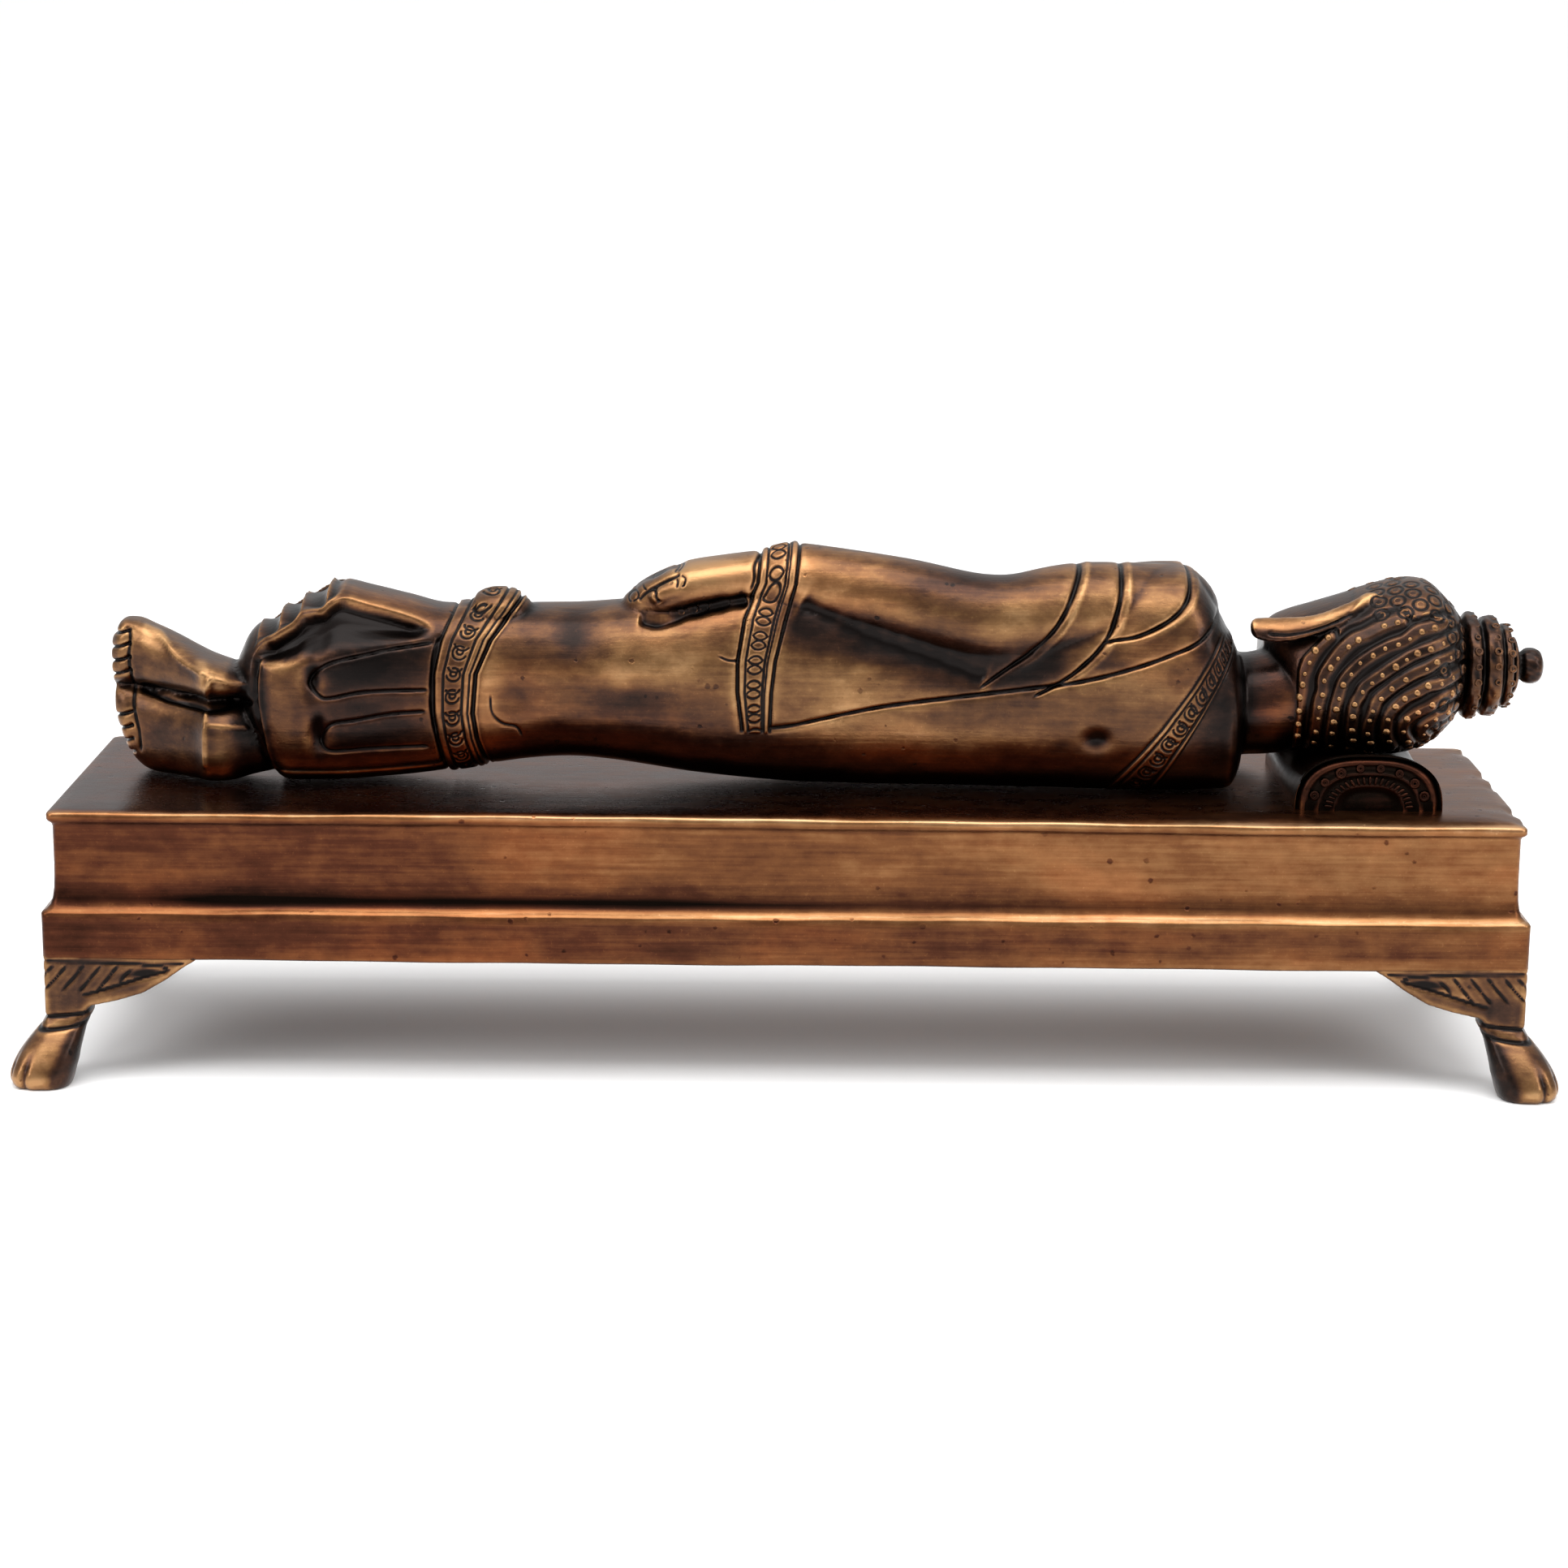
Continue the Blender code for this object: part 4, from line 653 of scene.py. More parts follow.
def carve_band(work, band, inside, cuts, strip, raise_by, motif, pitch):
    """Raise a band, cut lines along it at shares of its width, and punch a motif on the strip between two."""
    across, width = band_place(work.x, work.z, band)
    near = np.nonzero((across > -0.3) & (across < 1.3) & (inside > 0.01))[0]
    heights, first, second = np.array(sorted(band)).T
    slope = np.interp(work.z[near], heights, np.gradient(0.5 * (first + second), heights))
    lean = 1 / np.sqrt(1 + slope**2)
    across, inside = across[near], inside[near]
    width = width[near] * lean
    left, right = across * width, (1 - across) * width
    work.move[near] += raise_by * inside * ramp(left, -0.5, 0.3) * ramp(right, -0.5, 0.3)
    for share, depth, half in cuts:
        d = np.abs((across - share) * width)
        cut = 0.75 * np.exp(-((d / (0.6 * half)) ** 2)) + 0.25 * np.exp(-((d / (1.4 * half)) ** 2))
        work.add(near, depth, cut * inside)
    w = (across - 0.5 * (strip[0] + strip[1])) * width
    v = girth(work.x[near], work.y[near], work.z[near], band) + (across - 0.5) * width * slope
    half_strip = 0.5 * (strip[1] - strip[0]) * width
    mark = np.zeros(len(near))
    base = np.floor(v / pitch)
    for step in (-1, 0, 1, 2):
        row = base + step
        for part in motif:
            flip = np.where(row % 2 == 0, 1.0, -1.0) if part[0] else 1.0
            mark = np.maximum(mark, arc(w * flip, v, (row + part[1]) * pitch, *part[2:]))
    room = 1 - ramp(np.abs(w) - half_strip, -0.5, -0.1)
    work.add(near, PUNCH_DEPTH, mark * room * inside, PUNCH_WAX)


# a motif's arcs: mirrored on every other step, place along the pitch, radius, start, sweep
EYES = ((0, 0.00, 1.75, 205, 130), (0, 0.10, 1.65, 25, 130), (0, 0.40, 1.75, 205, 130),
        (0, 0.72, 1.7, 25, 130))
SCROLLS = ((1, 0.0, 1.45, 60, 290), (1, 0.06, 0.65, 160, 250), (0, 0.48, 1.7, 205, 130))
RINGS = ((1, 0.0, 1.55, -150, 290), (0, 0.06, 0.75, 0, 360), (0, 0.52, 1.5, 205, 130))
# a band's lines: share of the width, depth, half width
HIP_CUTS = ((-0.02, 0.85, 0.60), (0.20, 0.50, 0.38), (0.72, 0.55, 0.42), (0.80, 0.25, 0.30),
            (1.0, 0.80, 0.55))
SHIN_CUTS = ((-0.02, 0.60, 0.55), (0.20, 0.50, 0.40), (0.65, 0.55, 0.42), (0.80, 0.30, 0.35),
             (0.93, 1.15, 0.85))
SHOULDER_CUTS = ((0.0, 0.50, 0.40), (0.20, 0.45, 0.36), (0.86, 0.55, 0.42), (1.0, 0.30, 0.32))
whole = np.ones(len(work.x))
carve_band(work, HIP_BAND, ramp(work.z, 13.4, 14.2), HIP_CUTS, (0.20, 0.72), 0.32, EYES, 5.4)
carve_band(work, SHIN_BAND, whole, SHIN_CUTS, (0.20, 0.65), 0.5, SCROLLS, 4.8)
on_shoulder = on_body * (1 - ramp(work.z, 33.5, 36.5)) * (1 - ramp(work.y, 15.5, 17.0))
carve_band(work, SHOULDER_BAND, on_shoulder, SHOULDER_CUTS, (0.22, 0.84), 0.3, RINGS, 4.3)
print("punch marks reach", round(float(work.wax.max()), 2), "wax")

# %% [markdown]
# ## Hem, toes, hands, ears and hair bed
# The hem has a thick fluted lip, the toes are parted by short slanting cuts, and the hair lies in low
# ridges that carry the curls. All of them repeat, so each is one wave or one short loop.

# %% Flutes, toes and the hair's ridges
HOLLOW_DEPTH, FLUTE_PITCH, FLUTE_DEPTH, LIP_RAISE = 3.0, 6.2, 1.7, 0.35
x, y, z, normals = work.x, work.y, work.z, work.normals
lip_x, lip_z = drawn(HEM_EDGE).T
lip = np.interp(x, lip_x, lip_z)
over = z - lip
along = ramp(x, HEM_EDGE[0][0], HEM_EDGE[0][0] + 4.0) * (1 - ramp(x, -83.0, -77.6))
share = -over / np.maximum(lip - np.interp(x, *HOLLOW_FOOT), 1.0)
hollow = ramp(-over, 0.1, 1.5) * (1 - ramp(share, 0.35, 1.0)) * work.back * along
work.move -= HOLLOW_DEPTH * hollow
work.wax = np.maximum(work.wax, 0.80 * hollow * ramp(-over, 0.6, 2.0))
run = np.interp(x, lip_x, np.concatenate([[0.0], np.cumsum(np.hypot(np.diff(lip_x), np.diff(lip_z)))]))
flute = np.abs(np.sin(math.pi * (run - 1.5) / FLUTE_PITCH))
on_lip = ramp(x, HEM_EDGE[0][0], HEM_EDGE[0][0] + 2.0) * (1 - ramp(x, -100.5, -97.5)) * (y < 6.0)
on_lip *= (1 - ramp(over, 4.5, 8.0)) * ramp(over, -0.1, 0.5)
work.move += on_lip * (LIP_RAISE - FLUTE_DEPTH * flute**0.8 * ramp(over, 0.4, 1.8))
work.wax = np.maximum(work.wax, 0.45 * on_lip * flute * ramp(over, 0.8, 2.2))
for height in (SOLE_SPLIT - 18.6, SOLE_SPLIT):
    for i in range(1, TOE_COUNT):
        base = height + i * TOE_PITCH
        work.line(((-151.5, base - 0.7), (-148.0, base), (-145.6, base + 0.9)), 0.95, 0.55, whole, taper=0.6)
hair = ramp(x, 111.4, 112.2) * (1 - ramp(x, 148.5, 149.5))
hair *= 1 - ramp(y, 3.0, 5.0) * (1 - ramp(x, 135.6, 136.8))
hair *= 1 - ramp(z - (28.4 + 1.0 * (x - 112.0)), 1.2, 2.4) * (1 - ramp(x, 124.0, 127.0))
to_row = np.full(len(x), 9.0)
for line in HAIR_ROWS:
    near, d, _, _, _ = near_line(x, z, line, 3.4)
    to_row[near] = np.minimum(to_row[near], d)
ridge = 1 - ramp(to_row, 0.7, 1.95)
ridged = hair * ramp(-normals[:, 1], -0.35, 0.1) * (1 - ramp(to_row, 2.1, 2.9))
work.move += hair * 0.25 + ridged * (0.75 * ridge - 0.45)
work.wax = np.maximum(work.wax, ridged * 0.6 * ramp(to_row, 1.2, 1.9) + 0.08 * hair)
work.line(HAIR_BORDER, -0.4, 0.6, work.back, wax=0.0)
EAR_HOLLOW = ((104.6, 35.9), (109.0, 35.9), (114.0, 36.8), (119.0, 38.5), (123.4, 40.6))
work.line(EAR_HOLLOW, 0.75, 0.62, work.back * (y < -7.5), taper=1.2)
print("hair bed covers", int((hair > 0.5).sum()), "points")

# %% The hand on the hip: fingers, knuckle arcs and nails
HAND_LINES = (
    (0.70, 0.50, ((-22.6, 49.8), (-24.9, 48.8), (-27.0, 48.1), (-29.6, 46.7), (-32.2, 45.4), (-34.4, 43.6))),
    (0.80, 0.55, ((-23.8, 47.7), (-25.3, 46.9), (-26.9, 46.2), (-29.4, 44.9), (-31.3, 43.5), (-33.1, 41.5))),
    (0.70, 0.70, ((-29.5, 45.0), (-29.2, 43.7), (-28.9, 42.4), (-28.2, 41.2))),
    (0.40, 0.40, ((-22.6, 50.0), (-23.6, 48.8), (-24.5, 48.0))),
    (0.40, 0.40, ((-23.5, 49.8), (-24.4, 48.7), (-25.2, 47.8))),
    (0.45, 0.40, ((-23.8, 47.6), (-22.7, 46.9), (-22.9, 45.6), (-23.5, 45.0))),
    (0.45, 0.40, ((-24.7, 47.0), (-24.3, 46.1), (-24.5, 44.7))),
    (0.35, 0.34, ((-34.4, 41.0), (-35.0, 41.1), (-35.3, 41.8), (-34.6, 42.8), (-33.6, 43.4), (-33.1, 42.8),
                  (-33.4, 41.8), (-34.4, 41.0))),
    (0.30, 0.34, ((-31.2, 43.9), (-31.9, 44.3), (-32.0, 44.9))), (0.30, 0.34, ((-29.9, 46.2), (-30.8, 47.0))),
)
hand_faces = ramp(-normals[:, 1] + 0.6 * normals[:, 2], 0.0, 0.4)
for depth, half, line in HAND_LINES:
    work.line(line, depth, half, hand_faces, taper=0.5)

# %% The face: closed lids, brows, lips
face_on = ramp(normals[:, 1], 0.1, 0.5) * (y > 8.0)
mid = z - HEAD_MID_Z
for side in (1, -1):
    eye_x = CHIN_X + THIRD * 1.86
    work.line(((eye_x + 0.2, 2.8), (eye_x - 0.9, 4.2), (eye_x - 1.3, 6.0), (eye_x - 0.9, 7.9),
               (eye_x + 0.3, 9.6)),
              0.42, 0.34, face_on, taper=0.8, v=side * mid)
    work.line(((eye_x + 1.7, 2.7), (eye_x + 2.2, 5.2), (eye_x + 1.9, 7.8), (eye_x + 0.7, 9.8)),
              0.22, 0.32, face_on, taper=1.0, v=side * mid, wax=0.6)
    brow_x = CHIN_X + THIRD * 2.22
    work.line(((brow_x - 2.2, 1.4), (brow_x + 0.2, 3.4), (brow_x + 1.0, 6.4), (brow_x - 0.4, 9.8)),
              -0.32, 0.55, face_on, taper=1.4, v=side * mid, wax=0.0)
    work.line(((CHIN_X + THIRD * 1.05, 1.0), (CHIN_X + THIRD * 1.02, 2.0)), 0.5, 0.45, face_on, taper=0.5,
              v=side * mid)
mouth_x = CHIN_X + THIRD * 0.71
work.line(((mouth_x + 0.9, -4.2), (mouth_x + 0.1, -2.2), (mouth_x + 0.15, 0.0), (mouth_x + 0.1, 2.2),
           (mouth_x + 0.9, 4.2)),
          0.4, 0.34, face_on, taper=0.9, v=mid)
work.line(((HAIRLINE_X - 3.2, -11.5), (HAIRLINE_X - 0.6, -7.0), (HAIRLINE_X, 0.0), (HAIRLINE_X - 0.6, 7.0),
           (HAIRLINE_X - 3.2, 11.5)),
          0.4, 0.5, face_on, v=mid)
print("face carved on the canon: thirds of", round(THIRD, 2), "mm")

# %% Robe folds on the front, where the photograph doesn't look, and a hand-filed unevenness
FRONT_FOLDS = (
    ((-112.0, 30.0), (-96.0, 27.0), (-80.0, 26.0)), ((-112.0, 20.0), (-96.0, 19.5), (-80.0, 20.0)),
    ((-112.0, 10.0), (-96.0, 11.5), (-80.0, 13.0)), ((-60.0, 24.0), (-36.0, 20.0), (-14.0, 21.0)),
    ((-60.0, 12.0), (-36.0, 11.0), (-14.0, 13.0)), ((10.0, 10.0), (34.0, 16.0), (66.0, 34.0)),
    ((20.0, 5.0), (44.0, 11.0), (74.0, 29.0)), ((4.0, 17.0), (26.0, 23.0), (54.0, 38.0)),
    ((2.0, 26.0), (18.0, 31.0), (38.0, 40.0)),
)
FRONT_DEPTH, FRONT_HALF, FILED_BY = 0.8, 1.1, 0.08
for line in FRONT_FOLDS:
    work.line(line, FRONT_DEPTH, FRONT_HALF, work.front * on_body, taper=4.0)
uneven = np.sin(0.19 * x + 0.11 * z + 0.4) * np.sin(0.27 * z - 0.17 * y + 0.06 * x + 1.0)
uneven += 0.5 * np.sin(0.31 * x - 0.23 * z + 2.0) * np.sin(0.09 * x + 0.33 * z)
work.move += FILED_BY * uneven * on_body

# %% Move the skin, then keep it off the couch and the pillow
PILLOW_X, PILLOW_WIDTH, PILLOW_HEIGHT = 126.0, 32.0, 12.0
PILLOW_BACK, PILLOW_FRONT, PILLOW_DISH = -28.0, 22.0, 3.8
gap = REST_GAP / UNIT


def pillow_top(x, y):
    """Height of the pillow's dished top over the couch, 0 beside it."""
    share = (y - PILLOW_BACK) / (PILLOW_FRONT - PILLOW_BACK)
    dish = PILLOW_DISH * np.sin(math.pi * np.clip((share - 0.02) / 0.96, 0, 1)) ** 0.8
    side = np.clip(np.abs(x - PILLOW_X) / (0.5 * PILLOW_WIDTH), 0, 1)
    return np.where((share > 0) & (share < 1), (PILLOW_HEIGHT - dish) * (1 - side ** (8 / 3)) ** (3 / 8), 0.0)


points = work.points + normals * work.move.reshape(-1, 1)
floor_z = pillow_top(points[:, 0], points[:, 1]) + gap + 0.05
lifted = points[:, 2] < floor_z
roof_z = (figure_high[2] - COUCH_HEIGHT) / UNIT - 0.05
points[:, 2] = np.minimum(np.where(lifted, floor_z, points[:, 2]), roof_z)
set_points(skin, points)
print("points laid flat on couch and pillow:", int(lifted.sum()))

# %% [markdown]
# ## Curls
# The hair's beads stand in rows along the ridges, a little uneven as a hand sets them. Where there are no
# rows, rings are punched at even distance from each other.

# %% Where the curls sit, and the punch's dark ring round each
normals = array_of(skin.vertex_normals, "vector", 3)
head_points = np.nonzero((points[:, 0] > 111.0) & (points[:, 0] < 149.0) & (hair > 0.6))[0]
head_xyz, head_normals = points[head_points], normals[head_points]
STUD_STEP = 3.0
bead_spots, ring_spots, taken = [], [], []


def in_metres(spot):
    """A point of the figure's grid, in metres over the floor."""
    return Vector(spot) * UNIT + Vector((0, 0, COUCH_HEIGHT))


def stud_at(i, shape):
    """A stud's place in metres, the way it faces, its direction along the skin and its shape."""
    facing = head_normals[i]
    return in_metres(head_xyz[i] - facing * 0.25), facing, (1.0, 0.0, 0.2), shape


def claim(target, mask, reach):
    """The skin point nearest to the target, unless it is too far or a stud is already close by."""
    distance = ((head_xyz[:, (0, 2)] - target) ** 2).sum(axis=1) + 1e6 * ~mask
    i = int(distance.argmin())
    if distance[i] < reach**2 and all(((head_xyz[i] - t) ** 2).sum() > (0.8 * STUD_STEP) ** 2 for t in taken):
        taken.append(head_xyz[i])
        return i
    return None


seen = head_normals[:, 1] < -0.05
sway = np.random.default_rng(4)
for row in HAIR_ROWS:
    line = drawn(row, 12)
    run = np.concatenate([[0.0], np.cumsum(np.hypot(*np.diff(line, axis=0).T))])
    for at in np.arange(0.8 + sway.random(), run[-1], STUD_STEP):
        at += sway.normal(0.0, 0.25)
        target = np.array([np.interp(at, run, line[:, 0]), np.interp(at, run, line[:, 1])])
        target = target + sway.normal(0.0, 0.12, 2)
        i = claim(target, seen, 0.7)
        if i is not None:
            bead_spots.append(stud_at(i, (1.0, 0.85 + 0.3 * sway.random(), 0.75)))
order = np.lexsort((head_xyz[:, 2], np.round(head_xyz[:, 0] / 3.4)))
free, punched = np.ones(len(order), bool), np.zeros(len(order))
for t in taken:
    free &= ((head_xyz - t) ** 2).sum(axis=1) > STUD_STEP**2
free &= ~((head_xyz[:, 0] < 129.0) & (head_xyz[:, 2] > 35.0) & (head_xyz[:, 1] < 2.0))
free &= ~((head_xyz[:, 0] < 124.0) & (head_xyz[:, 1] < -4.0))
for i in order:
    if free[i]:
        free &= ((head_xyz - head_xyz[i]) ** 2).sum(axis=1) > (1.32 * STUD_STEP) ** 2
        ring_spots.append(stud_at(i, (1.0, 1.0, 0.9)))
        d = np.sqrt(((head_xyz - head_xyz[i]) ** 2).sum(axis=1))
        punched = np.maximum(punched, np.exp(-(((d - 1.6) / 0.36) ** 2)))
points[head_points] -= 0.2 * punched.reshape(-1, 1) * head_normals
work.wax[head_points] = np.maximum(work.wax[head_points], 0.7 * punched)
set_points(skin, points)
print("beads", len(bead_spots), "rings", len(ring_spots))

# %% [markdown]
# ## What hands have rubbed, and painted light and shade
# Raised places are rubbed bright and hollows keep their dark wax. A point is raised when it stands above
# the mean of its neighbours, so the difference from a smoothed copy of the skin gives the wear, once
# for thin edges and once for broad forms. A few soft patches then add golden and dark patina, and painted
# highlights and painted shade; painted shade also darkens the faces that look down, the body low near the
# couch, the crease under the arm and the ear's lower side.

# %% Wear from the shape, tone from patches, with painted highlights and painted shade
def standing_proud(mesh, places, rounds):
    """How far each point stands above its neighbours, and how far those stand above a wider mean."""
    normals, edges = array_of(mesh.vertex_normals, "vector", 3), edge_array(mesh)
    fine = smoothed(places, edges, 3, (0.5, 0.5))
    broad = smoothed(fine, edges, rounds, (0.5, 0.5))
    return ((places - fine) * normals).sum(axis=1), ((fine - broad) * normals).sum(axis=1)


normals = array_of(skin.vertex_normals, "vector", 3)
edge_wear, form_wear = standing_proud(skin, points, 26)
rub_and_highlight = np.clip(0.5 + 6.0 * edge_wear + 1.6 * form_wear, 0.0, 1.0)
PATINA_HIGHLIGHT_AND_SHADE_PATCHES = (
    # x, z, half length, half height, tone: positive is golden, negative is dark. Some patches are rubbed gold
    # and dark patina, some are painted highlights and painted shade.
    (-18.0, 49.0, 12.0, 4.0, 0.50), (10.0, 47.0, 10.0, 4.0, 0.10), (-28.0, 28.0, 15.0, 6.0, 0.34),
    (12.0, 24.0, 14.0, 8.0, 0.30), (38.0, 47.5, 13.0, 3.2, -0.34), (48.0, 40.0, 6.0, 4.0, 0.34),
    (80.0, 42.0, 9.0, 5.0, 0.16), (66.0, 40.0, 9.0, 7.0, 0.12), (-35.0, 21.0, 9.0, 4.0, -0.22),
    (30.0, 13.0, 30.0, 3.5, 0.22), (72.0, 24.0, 14.0, 5.0, 0.24), (92.5, 37.0, 4.0, 8.0, -0.50),
    (98.0, 18.0, 8.5, 18.0, -0.62), (70.0, 29.5, 5.0, 2.4, -0.25), (-50.0, 33.0, 9.0, 6.0, -0.22),
    (-56.0, 14.0, 7.0, 8.0, -0.10), (-66.0, 24.0, 3.0, 9.0, 0.24), (-94.0, 34.0, 16.0, 6.0, -0.50),
    (-92.0, 14.0, 14.0, 9.0, -0.42), (-96.0, 2.6, 16.0, 2.6, 0.46), (-90.0, 26.0, 14.0, 5.0, -0.34),
    (-110.0, 24.0, 4.0, 8.0, 0.10), (-118.0, 14.0, 4.0, 16.0, -0.50), (-139.0, 9.0, 9.0, 8.0, -0.16),
    (-143.0, 32.0, 6.0, 4.0, 0.20), (-126.0, 22.0, 5.0, 6.0, 0.10), (107.0, 20.0, 7.0, 10.0, 0.08),
    (-60.4, 19.6, 2.0, 1.8, 0.30), (110.0, 32.0, 5.0, 4.0, -0.10), (132.0, 25.0, 20.0, 22.0, -0.31),
    (-74.0, 24.0, 5.0, 16.0, -0.10),
)
# x and height of a line; below it the figure gets painted shade, close to the couch.
PAINTED_SHADE_LINE = ((-80.0, -60.0, -35.0, -10.0, 12.0, 40.0, 96.0), (2.0, 12.0, 20.0, 19.0, 10.0, 8.0, 8.0))
WARMTH = ((107.0, 24.0, 8.0, 12.0, 0.9), (-94.0, 14.0, 20.0, 12.0, 0.5), (-40.0, 12.0, 26.0, 8.0, 0.5),
          (60.0, 6.0, 40.0, 8.0, 0.4))
PLAIN_TONE = 0.50


def patches(table):
    """Soft patches on the figure, added up."""
    total = np.zeros(len(points))
    for cx, cz, half_x, half_z, amount in table:
        total += amount * np.exp(-(((points[:, 0] - cx) / half_x) ** 2) - ((points[:, 2] - cz) / half_z) ** 2)
    return total


tone = PLAIN_TONE + patches(PATINA_HIGHLIGHT_AND_SHADE_PATCHES)
# Painted shade: faces that look down are darker.
tone -= 0.24 * ramp(-normals[:, 2], 0.1, 0.8)
face_and_cheek_hand = ramp(points[:, 1], 8.0, 12.0) * ramp(points[:, 0], 100.0, 106.0)
tone += 0.36 * face_and_cheek_hand * (1 - ramp(points[:, 0], 135.0, 137.0))
# Painted shade low on the body, where it comes near the couch.
painted_shade_below = 1 - ramp(points[:, 2] - np.interp(points[:, 0], *PAINTED_SHADE_LINE), -5.0, 4.0)
tone -= 0.17 * painted_shade_below * (points[:, 0] > -76.0)
# Painted shade along the crease under the arm.
near, d, _, _, _ = near_line(points[:, 0], points[:, 2], ARM_CREASE, 12.0)
tone[near] -= 0.44 * np.exp(-((d / 4.6) ** 2)) * ramp(-normals[near, 1], -0.2, 0.3)
# Painted highlight on the ear's upper edge and painted shade on its lower side.
ear_x, _, ear_z, ear_half = np.array(EAR[::-1]).T
ear_up = points[:, 2] - np.interp(points[:, 0], ear_x, ear_z)
on_ear = (np.abs(ear_up) < np.interp(points[:, 0], ear_x, ear_half) + 0.6) & (points[:, 1] < -8.2)
on_ear &= (points[:, 0] > 100.8) & (points[:, 0] < 130.0)
tone += on_ear * (0.60 * ramp(ear_up, -0.9, 1.0) - 0.22)
warm = patches(WARMTH)
print("rub mean", round(float(rub_and_highlight.mean()), 2), "tone range", round(float(tone.min()), 2),
      round(float(tone.max()), 2))

# %% [markdown]
# ## Cut the skin into pieces at its deep lines
# Each piece should stay light enough to handle, so the skin is parted at the borders of the robe, across the
# shoulders and at the neck. Every piece keeps the normals of the whole skin, so the joints don't show, and
# its open ends are closed.

# %% Split, close and keep the whole skin's normals
def store(mesh, name, values, kind="FLOAT"):
    layer = mesh.attributes.new(name, kind, "POINT")
    layer.data.foreach_set("vector" if kind == "FLOAT_VECTOR" else "value", values.astype(np.float32).ravel())


ON_COUCH = np.array([0.0, 0.0, COUCH_HEIGHT])
set_points(skin, points * UNIT + ON_COUCH)
store(skin, "wax", np.clip(work.wax, 0, 1))
store(skin, "rub_and_highlight", rub_and_highlight)
store(skin, "tone", np.clip(tone, 0, 1))
store(skin, "warm", np.clip(warm, 0, 1))
store(skin, "lie", normals, "FLOAT_VECTOR")
centre_x = array_of(skin.polygons, "center", 3)[:, 0] / UNIT
CUTS_X = {"feet_and_hem": (-200.0, -77.6), "legs": (-77.6, -9.0), "torso_and_arms": (-9.0, 47.0),
          "shoulders": (47.0, 101.6), "head": (101.6, 200.0)}
figure_pieces = []
for name, (low, high) in CUTS_X.items():
    keep = (centre_x > low) & (centre_x <= high)
    part = bmesh.new()
    part.from_mesh(skin)
    part.faces.ensure_lookup_table()
    bmesh.ops.delete(part, geom=[f for f in part.faces if not keep[f.index]], context="FACES")
    bmesh.ops.holes_fill(part, edges=[e for e in part.edges if e.is_boundary], sides=0)
    bmesh.ops.triangulate(part, faces=[f for f in part.faces if len(f.verts) > 4])
    mesh = bpy.data.meshes.new(name)
    part.to_mesh(mesh)
    part.free()
    mesh.shade_smooth()
    whole_normals = array_of(mesh.attributes["lie"].data, "vector", 3)
    mesh.normals_split_custom_set_from_vertices([tuple(n) for n in whole_normals])
    mesh.attributes.remove(mesh.attributes["lie"])
    figure_pieces.append(piece_of(mesh, name))
    print(name, sum(len(p.vertices) - 2 for p in mesh.polygons), "triangles")

# %% [markdown]
# ## The finish: a small language for shaders
# A material is arithmetic on patterns. The Wire class lets Python operators add Math nodes, and `node` makes
# any other node from its type, its settings and the values or links of its sockets.

# %% Shader arithmetic
class Wire:
    def __init__(self, tree, socket):
        self.tree, self.socket = tree, socket

    def node(self, kind, settings, inputs, output=0):
        made = self.tree.nodes.new(kind)
        for name, value in settings.items():
            if name == "stops":
                for i, (at, colour) in enumerate(value):
                    stop = made.color_ramp.elements[i] if i < 2 else made.color_ramp.elements.new(at)
                    stop.position, stop.color = at, (*colour, 1.0)
            else:
                setattr(made, name, value)
        for name, value in inputs.items():
            if isinstance(value, Wire):
                self.tree.links.new(value.socket, made.inputs[name])
            else:
                made.inputs[name].default_value = value
        return Wire(self.tree, made.outputs[output])

    def math(self, operation, first, second):
        return self.node("ShaderNodeMath", {"operation": operation}, {0: first, 1: second})

    def __add__(self, other):
        return self.math("ADD", self, other)

    def __radd__(self, other):
        return self.math("ADD", other, self)

    def __sub__(self, other):
        return self.math("SUBTRACT", self, other)

    def __rsub__(self, other):
        return self.math("SUBTRACT", other, self)

    def __mul__(self, other):
        return self.math("MULTIPLY", self, other)

    def __rmul__(self, other):
        return self.math("MULTIPLY", other, self)

    def between(self, low, high):
        return self.node("ShaderNodeMapRange", {"interpolation_type": "SMOOTHSTEP"},
                         {"Value": self, "From Min": low, "From Max": high})

    def mix(self, first, second):
        """Colours: the first where this mask is 0, the second where it is 1."""
        return self.node("ShaderNodeMix", {"data_type": "RGBA"}, {0: self, 6: first, 7: second}, 2)


# %% [markdown]
# ## Antique brass
# The metal is one alloy. What varies is the brown patina over it: black in the cuts, red-brown on flat
# ground, golden where it is rubbed. So one material function builds a tone from 0 to 1 out of the carving,
# the wear, the stored tone with its painted highlights and painted shade, and some noise, and a ramp turns
# the tone into colour. The couch also shows a wire brush's lines.

# %% The brass
FIGURE_PATINA = ((0.0, (0.006, 0.004, 0.0035)), (0.2, (0.016, 0.009, 0.007)), (0.4, (0.045, 0.021, 0.013)),
                 (0.6, (0.110, 0.050, 0.022)), (0.8, (0.220, 0.112, 0.045)), (1.0, (0.380, 0.215, 0.095)))
COUCH_PATINA = ((0.0, (0.006, 0.004, 0.003)), (0.2, (0.022, 0.009, 0.006)), (0.4, (0.062, 0.022, 0.012)),
                (0.6, (0.145, 0.058, 0.023)), (0.8, (0.250, 0.122, 0.050)), (1.0, (0.450, 0.270, 0.140)))


COPPERY = (1.25, 0.66, 0.50, 1.0)
PIT_DEPTH, FLECK_DEPTH = 0.00014, 0.00003


